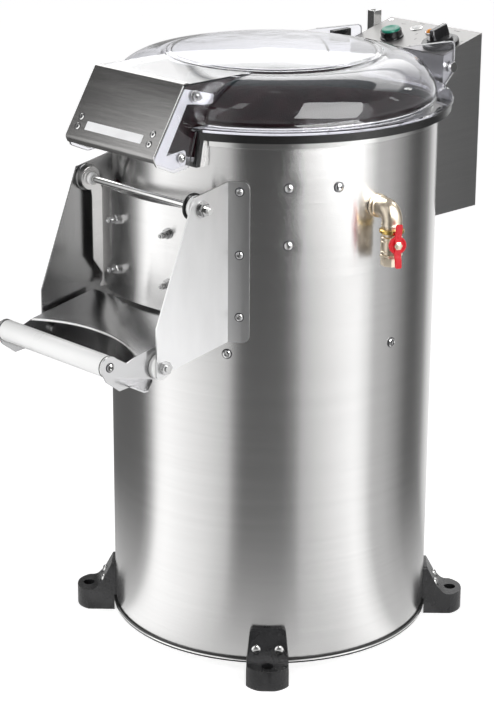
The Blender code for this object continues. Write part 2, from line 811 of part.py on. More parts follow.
def make_rim(root):
    leg = DRUM_RADIUS + GAP
    tip = DRUM_RADIUS + RIM_REACH
    rim = [
        (leg, DRUM_TOP),
        (tip, DRUM_TOP),
        (tip, DRUM_TOP - SHEET),
        (leg + SHEET, DRUM_TOP - SHEET),
        (leg + SHEET, DRUM_TOP - RIM_LEG),
        (leg, DRUM_TOP - RIM_LEG),
    ]
    seal_inner = HOOD_HALF_WIDTH + GAP
    seal_outer = seal_inner + SEAL_WIDTH
    rim_ring = turned("rim", rim)
    rim_gap = DRUM_TOP + CUT_OVERRUN
    cut(rim_ring, front_slot("rim_cut", seal_outer + GAP, DRUM_BOTTOM, rim_gap))
    part(rim_ring, "top_rim", STEEL, root)

    outer = tip + GAP + GASKET_WALL
    slot_top = DRUM_TOP + GAP
    slot_low = DRUM_TOP - SHEET - GAP
    under = tip - GASKET_UNDER
    profile = [
        (DRUM_RADIUS + GASKET_INNER_LIP, slot_top),
        (DRUM_RADIUS + GASKET_INNER_LIP, DRUM_TOP + GASKET_TOP),
        (outer, DRUM_TOP + GASKET_TOP),
        (outer, slot_low - GASKET_WALL),
        (under, slot_low - GASKET_WALL),
        (under, slot_low),
        (tip + GAP, slot_low),
        (tip + GAP, slot_top),
    ]
    gasket = turned("gasket", profile)
    cut(gasket, front_slot("gasket_cut", seal_inner + GAP, DRUM_BOTTOM, rim_gap))
    front_low = -DRUM_RADIUS - GAP - SEAL_REACH
    front_high = front_low + SEAL_LEAN
    back = -DRUM_RADIUS / 2
    side = [
        (front_low, SEAL_BOTTOM),
        (front_high, DRUM_TOP + GASKET_TOP),
        (back, DRUM_TOP + GASKET_TOP),
        (back, SEAL_BOTTOM),
    ]
    for hand in (-1, 1):
        ends = sorted((hand * seal_inner, hand * seal_outer))
        leg_piece = plate("seal_leg", side, *ends)
        cut(leg_piece, drum_core("seal_leg_core"))
        join(gasket, leg_piece)
    sill = block(
        "seal_sill", (-seal_outer, front_low, SEAL_BOTTOM), (seal_outer, back, MOUTH_SILL)
    )
    join(gasket, cut(sill, drum_core("sill_core")))
    part(gasket, "rim_gasket", BLACK_RUBBER, root)


# Feet


def make_feet(root):
    face = DRUM_RADIUS + GAP
    back = -at_drum(FOOT_HALF_WIDTH) + FOOT_TIP_THICKNESS
    nose = -DRUM_RADIUS - FOOT_REACH
    side = rounded(
        [
            (back, 0, 0),
            (nose, 0, FOOT_SOLE_EDGE),
            (nose, FOOT_PAD_HEIGHT, FOOT_SOLE_EDGE),
            (-DRUM_RADIUS - FOOT_FILLET_REACH, FOOT_PAD_HEIGHT, FOOT_SCREW_HEIGHT - FOOT_PAD_HEIGHT),
            (-DRUM_RADIUS - FOOT_SCREW_DEPTH, FOOT_SCREW_HEIGHT, 0),
            (-face - FOOT_TIP_THICKNESS, FOOT_HEIGHT, 0),
            (-face - FOOT_TIP_THICKNESS, FOOT_HEIGHT + CUT_OVERRUN, 0),
            (back, FOOT_HEIGHT + CUT_OVERRUN, 0),
        ]
    )
    spread = math.degrees(math.asin(FOOT_HALF_WIDTH / FOOT_NOSE_RADIUS))
    nose_centre = (0, nose + FOOT_NOSE_RADIUS)
    nose_arc = arc(nose_centre, FOOT_NOSE_RADIUS, 270 - spread, 270 + spread, 12)
    plan_back = back + CUT_OVERRUN
    plan = [(-FOOT_HALF_WIDTH, plan_back), *nose_arc, (FOOT_HALF_WIDTH, plan_back)]
    taper = (FOOT_HALF_WIDTH - FOOT_TOP_HALF_WIDTH) / (FOOT_HEIGHT - FOOT_TAPER_END)
    wide = FOOT_HALF_WIDTH + taper * (FOOT_TAPER_END + CUT_OVERRUN)
    front = rounded(
        [
            (-wide, -CUT_OVERRUN, 0),
            (wide, -CUT_OVERRUN, 0),
            (FOOT_TOP_HALF_WIDTH, FOOT_HEIGHT, FOOT_CORNER),
            (-FOOT_TOP_HALF_WIDTH, FOOT_HEIGHT, FOOT_CORNER),
        ]
    )
    names = ("foot_front_right", "foot_rear_right", "foot_rear_left", "foot_front_left")
    trim_top = DRUM_BOTTOM - GAP - TRIM_THICKNESS + TRIM_HEIGHT
    pattern = plate("foot_side", side, -wide, wide)
    keep_inside(
        pattern,
        plate("foot_plan", plan, -CUT_OVERRUN, FOOT_HEIGHT + CUT_OVERRUN, axis="z"),
        plate("foot_front", front, nose - CUT_OVERRUN, CUT_OVERRUN, axis="y"),
    )
    for hand in (-1, 1):
        cut(
            pattern,
            rod(
                "foot_screw_bore",
                FOOT_SCREW_BORE,
                nose,
                -DRUM_RADIUS - FOOT_SCREW_SEAT,
                "y",
                place=(hand * FOOT_SCREW_SPREAD, 0, FOOT_SCREW_HEIGHT),
            ),
        )
    cut(
        pattern,
        drum_core("foot_core"),
        drum_core("foot_trim_core", 2 * GAP + TRIM_THICKNESS, high=trim_top + GAP),
        rod(
            "foot_hole",
            FOOT_HOLE_RADIUS,
            -CUT_OVERRUN,
            FOOT_HEIGHT,
            place=(0, -DRUM_RADIUS - FOOT_HOLE_REACH, 0),
        ),
    )
    shape = finished(pattern)
    for i, name in enumerate(names):
        foot = spin(mesh_object(name, shape.copy()), FOOT_ANGLE + i * math.tau / FOOT_COUNT)
        part(foot, name, BLACK_PLASTIC, root)


# Outlet


def make_outlet_frame(root):
    inner = PLATE_HALF_SPAN - PLATE_SHEET
    front = -DRUM_RADIUS - PLATE_REACH
    back = -DRUM_RADIUS / 2
    slope = (PLATE_BOTTOM - PLATE_BACK_BOTTOM) / (front + at_drum(PLATE_HALF_SPAN))
    back_low = PLATE_BOTTOM + slope * (back - front)
    side = [
        (back, PLATE_TOP),
        (-at_drum(PLATE_HALF_SPAN), PLATE_TOP),
        (-DRUM_RADIUS - PLATE_TOP_REACH, PLATE_FRONT_TOP),
        (front, PLATE_CORNER),
        (front, PLATE_BOTTOM),
        (back, back_low),
    ]
    bend = math.asin(inner / DRUM_RADIUS)
    flange_top = PLATE_TOP
    flange_low = PLATE_BACK_BOTTOM - GAP
    for hand, name in ((-1, "left"), (1, "right")):
        ends = sorted((hand * inner, hand * PLATE_HALF_SPAN))
        sheet = plate("side_sheet", side, *ends)
        flange = ring(
            "flange_ring",
            DRUM_RADIUS - PLATE_SHEET,
            DRUM_RADIUS + GAP + PLATE_SHEET,
            flange_low - CUT_OVERRUN,
            flange_top + CUT_OVERRUN,
        )
        corners = [
            (0, flange_low, 0),
            (PLATE_FLANGE_WIDTH, flange_low, PLATE_FLANGE_CORNER),
            (PLATE_FLANGE_WIDTH, flange_top, PLATE_FLANGE_CORNER),
            (0, flange_top, 0),
        ]
        window = [(hand * u, v) for u, v in rounded(corners)]
        stencil = plate("flange_stencil", window, -2 * DRUM_RADIUS, -DRUM_RADIUS / 2, axis="y")
        keep_inside(flange, spin(stencil, hand * bend))
        join(sheet, flange)
        cut(
            sheet,
            drum_core("plate_core"),
            side_hole("rod_hole", hand, ROD_RADIUS, -DRUM_RADIUS - ROD_REACH, ROD_HEIGHT),
            side_hole(
                "pivot_hole", hand, STUD_RADIUS, -DRUM_RADIUS - TRAY_PIVOT_REACH, TRAY_PIVOT_HEIGHT
            ),
        )
        part(sheet, f"outlet_side_plate_{name}", STEEL, root)


def side_hole(name, hand, radius, y, z):
    """A hole along X through one side of the outlet."""
    ends = sorted((hand * DRUM_RADIUS / 4, hand * DRUM_RADIUS))
    return rod(name, radius + HOLE_CLEARANCE, *ends, axis="x", place=(0, y, z))


def make_rod(root):
    y = -DRUM_RADIUS - ROD_REACH
    nut_face = PLATE_HALF_SPAN + GAP
    half = nut_face + NUT_HEIGHT + ROD_END
    bar = rod("rod", ROD_RADIUS, -half, half, axis="x", place=(0, y, ROD_HEIGHT))
    part(bar, "door_rod", BRIGHT_STEEL, root)
    plate_inside = PLATE_HALF_SPAN - PLATE_SHEET - GAP
    ear_outside = DOOR_HALF_WIDTH + GAP
    ear_inside = DOOR_HALF_WIDTH - SHEET - GAP
    washer_end = plate_inside - WASHER_THICKNESS
    pieces = (
        ("rod_nut_left", NUT_RADIUS, -nut_face - NUT_HEIGHT, -nut_face, HEX_SIDES, BRIGHT_STEEL),
        ("rod_nut_right", NUT_RADIUS, nut_face, nut_face + NUT_HEIGHT, HEX_SIDES, BRIGHT_STEEL),
        ("rod_washer_left", WASHER_RADIUS, -plate_inside, -washer_end, SMALL_STEPS, STEEL),
        ("rod_bush_left", BUSH_RADIUS, -washer_end + GAP, -ear_outside, SMALL_STEPS, WHITE_PLASTIC),
        (
            "rod_washer_right",
            WASHER_RADIUS,
            ear_inside - WASHER_THICKNESS,
            ear_inside,
            SMALL_STEPS,
            BLACK_PLASTIC,
        ),
        ("rod_bush_right", BUSH_RADIUS, ear_outside, plate_inside, SMALL_STEPS, WHITE_PLASTIC),
    )
    for name, radius, low, high, sides, look in pieces:
        piece = rod(name, radius, low, high, "x", sides, (0, y, ROD_HEIGHT))
        bore = rod(
            "rod_bore",
            ROD_RADIUS + GAP,
            low - CUT_OVERRUN,
            high + CUT_OVERRUN,
            "x",
            place=(0, y, ROD_HEIGHT),
        )
        part(cut(piece, bore), name, look, root)


def make_door(hinge):
    axis_y = -DRUM_RADIUS - ROD_REACH
    inner = DRUM_RADIUS + DOOR_STANDOFF
    panel = ring("door_panel", inner, inner + SHEET, DOOR_BOTTOM, DOOR_TOP)
    keep_inside(
        panel,
        front_slot("door_width", DOOR_HALF_WIDTH - GAP, DOOR_BOTTOM / 2, DOOR_TOP + CUT_OVERRUN),
    )
    edge_y = -at_drum(DOOR_HALF_WIDTH, inner + SHEET)
    back = edge_y + DOOR_FLANGE_BACK
    front = -DRUM_RADIUS - DOOR_FLANGE_REACH
    neck = edge_y - DOOR_FLANGE_NECK
    ear = arc((axis_y, ROD_HEIGHT), DOOR_EAR_RADIUS, -20, 270, 16)
    tail = DOOR_TAIL + DOOR_TAIL_CURL
    flange = [
        *ear,
        (front, ROD_HEIGHT - DOOR_EAR_DROP),
        (front, DOOR_NOTCH_TOP),
        (neck, DOOR_NOTCH_BOTTOM),
        (neck, tail + DOOR_TAIL_CURL),
        *arc(
            (neck - DOOR_TAIL_CURL + DOOR_TAIL_CORNER, DOOR_TAIL + DOOR_TAIL_CORNER),
            DOOR_TAIL_CORNER,
            135,
            270,
            4,
        ),
        (back - DOOR_TAIL_CORNER, DOOR_TAIL),
        (back, DOOR_TAIL + DOOR_TAIL_CORNER),
        (back, ROD_HEIGHT - DOOR_EAR_DROP),
    ]
    for hand in (-1, 1):
        ends = sorted((hand * DOOR_HALF_WIDTH, hand * (DOOR_HALF_WIDTH - SHEET)))
        sheet = plate("door_flange", flange, *ends)
        join(panel, sheet)
    for hand in (-1, 1):
        cut(panel, side_hole("ear_hole", hand, ROD_RADIUS, axis_y, ROD_HEIGHT))
        for height in DOOR_STUD_HEIGHTS:
            cut(panel, door_stud(hand, height, DOOR_STUD_RADIUS + HOLE_CLEARANCE, 0))
    part(panel, "outlet_door", STEEL, hinge)

    depth = DRUM_RADIUS - DOOR_LINER_DEPTH
    low = DOOR_BOTTOM + DOOR_LINER_RISE
    high = DOOR_TOP - DOOR_LINER_MARGIN
    liner = ring("liner_block", depth, inner - GAP, low, high)
    keep_inside(
        liner,
        front_slot(
            "liner_width", OUTLET_HALF_WIDTH - DOOR_LINER_MARGIN, DOOR_BOTTOM / 2, ROD_HEIGHT
        ),
    )
    for hand in (-1, 1):
        for height in DOOR_STUD_HEIGHTS:
            join(liner, door_stud(hand, height, DOOR_STUD_RADIUS, DOOR_LINER_MARGIN))
    part(liner, "door_liner", ABRASIVE, hinge)


def door_stud(hand, height, radius, sink):
    """A bar square to the door's panel at one of its four studs."""
    inner = DRUM_RADIUS + DOOR_STANDOFF
    angle = hand * math.asin(DOOR_STUD_SPREAD / (inner + SHEET))
    low = -inner - DOOR_STUD_LENGTH
    stud = rod("door_stud", radius, low, -inner + GAP + sink, "y", place=(0, 0, height))
    return spin(stud, angle)


# Tray


def make_tray(hinge):
    inner = TRAY_HALF_WIDTH - SHEET
    pivot = (-DRUM_RADIUS - TRAY_PIVOT_REACH, TRAY_PIVOT_HEIGHT)
    grip = (-DRUM_RADIUS - GRIP_REACH, GRIP_HEIGHT)
    rear = (-DRUM_RADIUS - TRAY_REAR_REACH, TRAY_REAR_HEIGHT)
    front = (-DRUM_RADIUS - TRAY_FRONT_REACH, TRAY_FRONT_HEIGHT)
    slope = math.atan2(rear[1] - front[1], rear[0] - front[0])
    drop = (SHEET * math.sin(slope), -SHEET * math.cos(slope))
    strip = [rear, front, (front[0] + drop[0], front[1] + drop[1]), (rear[0] + drop[0], rear[1] + drop[1])]
    pan = plate("tray_pan", strip, -TRAY_HALF_WIDTH, TRAY_HALF_WIDTH)
    arc_radius = (inner**2 + TRAY_SAG**2) / (2 * TRAY_SAG)
    spread = math.degrees(math.asin(inner / arc_radius))
    centre = (0, front[0] + TRAY_SAG - arc_radius)
    bow = arc(centre, arc_radius, 90 + spread, 90 - spread, TRAY_ARC_STEPS)
    ahead = front[0] - CUT_OVERRUN
    scoop = [(-inner, ahead), *bow, (inner, ahead)]
    cut(pan, plate("tray_scoop", scoop, EAR_HEIGHT, TRAY_REAR_HEIGHT + CUT_OVERRUN, axis="z"))

    ear_front = -DRUM_RADIUS - EAR_FRONT_REACH
    ear_root = -DRUM_RADIUS - EAR_ROOT_REACH
    lobe_arc = arc(grip, CHEEK_LOBE_RADIUS, 40, 205, 12)
    tail = (rear[0], rear[1] - CHEEK_TAIL_DROP)
    cheek = [
        rear,
        front,
        (grip[0] + CHEEK_SADDLE_BACK, grip[1] - CHEEK_SADDLE_DROP),
        *lobe_arc,
        (grip[0] - CHEEK_NOSE_OUT, grip[1] - CHEEK_NOSE_DROP),
        (grip[0] + CHEEK_CHIN_BACK, grip[1] - CHEEK_CHIN_DROP),
        (ear_front, EAR_HEIGHT),
        (ear_root, EAR_HEIGHT),
        tail,
    ]
    bottom = [
        (ear_front, EAR_HEIGHT),
        (ear_root, EAR_HEIGHT),
        tail,
        (tail[0], tail[1] + SHEET),
        (ear_root, EAR_HEIGHT + SHEET),
        (ear_front, EAR_HEIGHT + SHEET),
    ]
    join(pan, plate("tray_bottom", bottom, -inner - SHEET / 2, inner + SHEET / 2))
    ear = [
        (inner, ear_front),
        (EAR_TIP_HALF_SPAN, ear_front),
        (EAR_TIP_HALF_SPAN, -DRUM_RADIUS - EAR_TIP_BACK_REACH),
        (EAR_BEND_SPAN, -DRUM_RADIUS - EAR_BEND_REACH),
        (inner, ear_root),
    ]
    for hand in (-1, 1):
        ends = sorted((hand * inner, hand * TRAY_HALF_WIDTH))
        ear_outline = [(hand * x, y) for x, y in ear]
        join(
            pan,
            plate("cheek", cheek, *ends),
            plate("stop_ear", ear_outline, EAR_HEIGHT, EAR_HEIGHT + SHEET, axis="z"),
        )
    for hand in (-1, 1):
        cut(pan, side_hole("cheek_hole", hand, STUD_RADIUS, *pivot))
    part(pan, "discharge_tray", STEEL, hinge)

    half = inner - GAP
    bar = rod("grip", GRIP_RADIUS, -half, half, "x", MIDDLE_STEPS, (0, *grip))
    part(bar, "tray_grip", WHITE_PLASTIC, hinge, bevel=GRIP_EDGE)


def make_pivots(root):
    y = -DRUM_RADIUS - TRAY_PIVOT_REACH
    cheek_inside = TRAY_HALF_WIDTH - SHEET - GAP
    plate_inside = PLATE_HALF_SPAN - PLATE_SHEET - GAP
    nut_face = PLATE_HALF_SPAN + GAP
    for hand, name in ((-1, "left"), (1, "right")):
        shank = rod(
            "pivot_shank",
            STUD_RADIUS,
            cheek_inside - PIVOT_HEAD_HEIGHT / 2,
            nut_face + NUT_HEIGHT + SHEET,
            "x",
        )
        head = rod(
            "pivot_head", PIVOT_HEAD_RADIUS, cheek_inside - PIVOT_HEAD_HEIGHT, cheek_inside, "x"
        )
        nut = rod("pivot_nut", NUT_RADIUS, nut_face, nut_face + NUT_HEIGHT, "x", HEX_SIDES)
        spacer = rod(
            "spacer", SPACER_RADIUS, TRAY_HALF_WIDTH + GAP, plate_inside, "x", MIDDLE_STEPS
        )
        bore = rod("spacer_bore", STUD_RADIUS + GAP, 0, PLATE_HALF_SPAN + CUT_OVERRUN, "x")
        for shape in (shank, head, nut, spacer, bore):
            shape.location = (0, y, TRAY_PIVOT_HEIGHT)
            if hand < 0:
                shape.rotation_euler.z = math.pi
        part(join(shank, head, nut), f"tray_pivot_bolt_{name}", BRIGHT_STEEL, root)
        part(cut(spacer, bore), f"tray_pivot_spacer_{name}", WHITE_PLASTIC, root)


# Peeling chamber and drive


def make_chamber(root):
    outer = DRUM_RADIUS - SHEET - GAP
    inner = outer - LINER_WALL
    floor_top = FLOOR_HEIGHT + FLOOR_THICKNESS
    liner = ring("liner", inner, outer, floor_top + GAP, LINER_TOP)
    cut(
        liner,
        front_slot("liner_outlet", OUTLET_HALF_WIDTH, OUTLET_BOTTOM, OUTLET_TOP),
        inlet_hole("liner_inlet_hole"),
    )
    part(liner, "abrasive_liner", ABRASIVE, root)

    drain = (0, DRAIN_REACH, 0)
    floor = ring("floor", FLOOR_BORE, outer, FLOOR_HEIGHT, floor_top, MIDDLE_STEPS)
    drain_room = DRAIN_RADIUS + GAP
    cut(
        floor, rod("floor_drain", drain_room, DRAIN_HEIGHT, DRUM_TOP, "z", MIDDLE_STEPS, drain)
    )
    part(floor, "chamber_floor", STEEL, root)

    def route(top, out):
        centre = (DRAIN_REACH + DRAIN_BEND, DRAIN_HEIGHT + DRAIN_BEND)
        bend = arc(centre, DRAIN_BEND, 180, 270, DRAIN_BEND_STEPS)
        return [(0, DRAIN_REACH, top), *[(0, u, v) for u, v in bend], (0, out, DRAIN_HEIGHT)]

    out = DRUM_RADIUS + DRAIN_OUTSIDE
    spout = tube("spout", route(floor_top, out), DRAIN_RADIUS, 4)
    bore = tube(
        "spout_bore", route(floor_top + CUT_OVERRUN, out + CUT_OVERRUN), DRAIN_RADIUS - DRAIN_WALL, 4
    )
    part(cut(spout, bore), "drain_spout", GREY_PAINT, root)


def make_disc(spindle):
    top = DISC_BOTTOM + DISC_THICKNESS
    socket = SHAFT_RADIUS + GAP
    profile = [
        (0, top + DISC_CROWN),
        (DISC_HUB_RADIUS, top + DISC_CROWN),
        (2 * DISC_HUB_RADIUS, top),
        (DISC_RADIUS, top),
        (DISC_RADIUS, DISC_BOTTOM),
        (DISC_HUB_RADIUS, DISC_BOTTOM),
        (DISC_HUB_RADIUS, DISC_BOTTOM - DISC_HUB_DROP),
        (socket, DISC_BOTTOM - DISC_HUB_DROP),
        (socket, DISC_BOTTOM + DISC_SOCKET),
        (0, DISC_BOTTOM + DISC_SOCKET),
    ]
    disc = turned("disc", profile, MIDDLE_STEPS)
    for i in range(RIDGE_COUNT):
        turn = i * math.tau / RIDGE_COUNT
        low = RIDGE_MIDDLE_REACH - RIDGE_LENGTH / 2
        ridge = rod("ridge", RIDGE_RADIUS, low, low + RIDGE_LENGTH, "x")
        ridge.location = (0, 0, top - RIDGE_SINK)
        ridge.rotation_euler.z = turn
        under = block(
            "ridge_trim",
            (-DISC_RADIUS, -DISC_RADIUS, DISC_BOTTOM - 2 * CUT_OVERRUN),
            (DISC_RADIUS, DISC_RADIUS, DISC_BOTTOM + DISC_SOCKET / 2),
        )
        join(disc, cut(ridge, under))
    part(disc, "abrasive_disc", ABRASIVE, spindle)

    shaft = rod(
        "shaft", SHAFT_RADIUS, SHAFT_BOTTOM, DISC_BOTTOM + DISC_SOCKET - GAP, steps=MIDDLE_STEPS
    )
    part(shaft, "disc_shaft", BRIGHT_STEEL, spindle)
    wheel = pulley("disc_wheel", DISC_PULLEY_RADIUS, SHAFT_RADIUS + GAP)
    part(wheel, "disc_pulley", GREY_PAINT, spindle)


def pulley(name, radius, bore):
    """A flat belt wheel with a lip at each edge."""
    top = PULLEY_HEIGHT + PULLEY_WIDTH
    lip = radius + PULLEY_RIM
    profile = [
        (bore, top),
        (lip, top),
        (lip, top - PULLEY_LIP),
        (radius, top - PULLEY_LIP),
        (radius, PULLEY_HEIGHT + PULLEY_LIP),
        (lip, PULLEY_HEIGHT + PULLEY_LIP),
        (lip, PULLEY_HEIGHT),
        (bore, PULLEY_HEIGHT),
    ]
    return turned(name, profile, MIDDLE_STEPS)


def make_housing(root):
    bore = SHAFT_RADIUS + GAP
    top = FLOOR_HEIGHT - GAP
    profile = [
        (bore, top),
        (HOUSING_FLANGE_RADIUS, top),
        (HOUSING_FLANGE_RADIUS, top - HOUSING_FLANGE_HEIGHT),
        (HOUSING_RADIUS, top - HOUSING_FLANGE_HEIGHT),
        (HOUSING_RADIUS, HOUSING_BOTTOM),
        (bore, HOUSING_BOTTOM),
    ]
    part(turned("housing", profile, MIDDLE_STEPS), "bearing_housing", GREY_PAINT, root)


def make_motor(root, rotor, floor_top):
    place = (-MOTOR_REACH, 0, 0)
    low = floor_top + GAP
    bell = MOTOR_TOP - MOTOR_BELL_HEIGHT
    bore = MOTOR_SHAFT_RADIUS + GAP
    socket_low = MOTOR_TOP - MOTOR_BELL_HEIGHT
    profile = [
        (bore, MOTOR_TOP),
        (MOTOR_BELL_RADIUS, MOTOR_TOP),
        (MOTOR_RADIUS, bell),
        (MOTOR_RADIUS, low),
        (0, low),
        (0, socket_low),
        (bore, socket_low),
    ]
    body = turned("motor_body", profile, MIDDLE_STEPS)
    foot = block(
        "motor_foot",
        (-MOTOR_FOOT_HALF, -MOTOR_FOOT_HALF, low),
        (MOTOR_FOOT_HALF, MOTOR_FOOT_HALF, low + MOTOR_FOOT_HEIGHT),
    )
    box_low = (low + MOTOR_TOP - MOTOR_BOX_SIZE) / 2
    terminal = block(
        "motor_terminal",
        (-MOTOR_BOX_SIZE / 2, MOTOR_RADIUS / 2, box_low),
        (MOTOR_BOX_SIZE / 2, MOTOR_RADIUS + MOTOR_BOX_SIZE / 2, box_low + MOTOR_BOX_SIZE),
    )
    for shape in (body, foot, terminal):
        shape.location = place
    part(join(body, foot, terminal), "motor", GREY_PAINT, root)

    shaft = rod(
        "motor_shaft",
        MOTOR_SHAFT_RADIUS,
        socket_low + GAP,
        PULLEY_HEIGHT + PULLEY_WIDTH + MOTOR_SHAFT_END,
    )
    wheel = pulley("motor_wheel", MOTOR_PULLEY_RADIUS, MOTOR_SHAFT_RADIUS / 2)
    for shape in (shaft, wheel):
        shape.location = place
    part(join(wheel, shaft), "motor_pulley", BRIGHT_STEEL, rotor)


def belt_outline(offset):
    """The line of a belt round both pulleys, at a distance from their faces."""
    large = DISC_PULLEY_RADIUS + offset
    small = MOTOR_PULLEY_RADIUS + offset
    lean = math.degrees(math.acos((large - small) / MOTOR_REACH))
    big_arc = arc((0, 0), large, -180 + lean, 180 - lean, MIDDLE_STEPS)
    small_arc = arc((-MOTOR_REACH, 0), small, 180 - lean, 180 + lean, SMALL_STEPS)
    return big_arc + small_arc


def make_belt(root):
    low = PULLEY_HEIGHT + PULLEY_LIP + GAP
    high = PULLEY_HEIGHT + PULLEY_WIDTH - PULLEY_LIP - GAP
    belt = plate("belt", belt_outline(GAP + BELT_THICKNESS), low, high, axis="z")
    inside = plate("belt_inside", belt_outline(GAP), low - CUT_OVERRUN, high + CUT_OVERRUN, axis="z")
    part(cut(belt, inside), "drive_belt", BLACK_RUBBER, root)


# Lid


def dome_profile(wall):
    """The dome's outer or inner line from its foot to its crown, moved in by wall."""
    foot = DRUM_TOP + GASKET_TOP + GAP
    side = foot + LID_FLANGE_THICKNESS + LID_SIDE_HEIGHT
    wide = LID_FOOT_RADIUS - LID_SHOULDER_RADIUS
    tall = LID_SHOULDER_HEIGHT - side
    line = []
    for i in range(LID_ARC_STEPS + 1):
        angle = math.pi / 2 * i / LID_ARC_STEPS
        radius = LID_SHOULDER_RADIUS - wall + wide * math.cos(angle)
        line.append((radius, side + (tall - wall) * math.sin(angle)))
    line.append((LID_PLATEAU_RADIUS - wall, LID_PLATEAU_HEIGHT - wall))
    line.append((0, LID_CROWN - wall))
    return line


def hood_outline(wall):
    """The hood seen from the side, as (y, z), with its roof lowered by wall."""
    inside = -LID_SHOULDER_RADIUS / 2
    flange = DRUM_TOP + GASKET_TOP + GAP
    rear = -DRUM_RADIUS + HOOD_HEEL_REACH / 2
    return rounded(
        [
            (inside, HOOD_ROOF - wall, 0),
            (-DRUM_RADIUS - HOOD_BROW_REACH, HOOD_ROOF - wall, 0),
            (-DRUM_RADIUS - HOOD_LIP_REACH, HOOD_LIP_HEIGHT, 0),
            (-DRUM_RADIUS - HOOD_CHIN_REACH, HOOD_CHIN_HEIGHT, HOOD_CORNER),
            (-DRUM_RADIUS - HOOD_KEEL_REACH, HOOD_KEEL_HEIGHT, HOOD_CORNER),
            (-DRUM_RADIUS - HOOD_HEEL_REACH, HOOD_HEEL_HEIGHT, HOOD_CORNER / 2),
            (rear, flange, 0),
            (inside, flange, 0),
        ]
    )


def make_lid(hinge):
    low = DRUM_TOP + GASKET_TOP + GAP
    outer = [(LID_FLANGE_RADIUS, low), (LID_FLANGE_RADIUS, low + LID_FLANGE_THICKNESS)]
    outer += [(LID_FOOT_RADIUS, low + LID_FLANGE_THICKNESS), *dome_profile(0), (0, low)]
    dome = turned("dome", outer, LID_STEPS)
    join(dome, plate("hood", hood_outline(0), -HOOD_HALF_WIDTH, HOOD_HALF_WIDTH))

    below = low - CUT_OVERRUN
    inner_foot = LID_FOOT_RADIUS - LID_WALL
    inner = [(0, below), (inner_foot, below), *dome_profile(LID_WALL)]
    throat_half = HOOD_HALF_WIDTH - LID_WALL
    throat_back = -DRUM_RADIUS / 2
    throat_front = -DRUM_RADIUS - HOOD_LIP_REACH - CUT_OVERRUN
    throat_top = HOOD_ROOF - LID_WALL
    throat_low = HOOD_KEEL_HEIGHT - CUT_OVERRUN
    throat = block(
        "throat", (-throat_half, throat_front, throat_low), (throat_half, throat_back, throat_top)
    )
    cut(dome, turned("dome_inside", inner, LID_STEPS), throat)

    lug = rounded(
        [
            (LUG_ROOT_REACH, LUG_ROOT_HEIGHT, 0),
            (LUG_BACK_REACH, LUG_TOP, LUG_CORNER),
            (LUG_BACK_REACH, LUG_HEEL_HEIGHT, LUG_CORNER),
            (LUG_TOE_REACH, LUG_TOE_HEIGHT, LUG_CORNER / 2),
            (LUG_FOOT_REACH, LUG_TOE_HEIGHT + LID_FLANGE_THICKNESS, 0),
            (LUG_FOOT_REACH, low, 0),
            (LUG_ROOT_REACH, low, 0),
        ]
    )
    for hand in (-1, 1):
        ends = sorted((hand * LUG_HALF_SPAN, hand * (LUG_HALF_SPAN + LUG_WALL)))
        wing = plate("lug", lug, *ends)
        cut(wing, turned("lug_dome_inside", inner, LID_STEPS))
        join(dome, wing)
    for hand in (-1, 1):
        cut(dome, side_hole("lug_hole", hand, HINGE_BOLT_RADIUS, HINGE_REACH, HINGE_HEIGHT))
    part(dome, "lid_dome", CLEAR, hinge)


def make_front_plate(hinge):
    """The steel sheet that closes the hood: a lap on the roof, the slope and a lip below."""
    brow = Vector((-DRUM_RADIUS - HOOD_BROW_REACH, HOOD_ROOF))
    lip = Vector((-DRUM_RADIUS - HOOD_LIP_REACH, HOOD_LIP_HEIGHT))
    along = (lip - brow).normalized()
    out = Vector((along.y, -along.x))
    if out.x > 0:
        out = -out
    near = GAP
    far = GAP + FRONT_PLATE_SHEET
    chin = Vector((-DRUM_RADIUS - HOOD_CHIN_REACH, HOOD_CHIN_HEIGHT))
    down = (chin - lip).normalized()
    under = Vector((down.y, -down.x))
    if under.x > 0:
        under = -under

    def offset(distance):
        roof_z = HOOD_ROOF + distance
        top_edge = brow + out * distance
        share = (roof_z - top_edge.y) / along.y
        corner_top = top_edge + along * share
        first = lip + out * distance
        second = lip + under * distance
        corner_low = cross_point(first, along, second, down)
        tip = second + down * FRONT_PLATE_LIP
        return [
            Vector((brow.x + FRONT_PLATE_ROOF_LAP, roof_z)),
            corner_top,
            corner_low,
            tip,
        ]

    inner = offset(near)
    outer = offset(far)
    corners = [(*inner[0], 0), (*inner[1], 0), (*inner[2], 0), (*inner[3], 0)]
    corners += [(*outer[3], 0), (*outer[2], FRONT_PLATE_SHEET), (*outer[1], FRONT_PLATE_BEND / 2)]
    corners += [(*outer[0], 0)]
    sheet = plate("front_sheet", rounded(corners), -HOOD_HALF_WIDTH, HOOD_HALF_WIDTH)
    part(sheet, "hood_front_plate", STEEL, hinge)


def cross_point(first, along, second, down):
    """Where two lines in a plane meet."""
    gap = second - first
    share = (gap.x * down.y - gap.y * down.x) / (along.x * down.y - along.y * down.x)
    return first + along * share


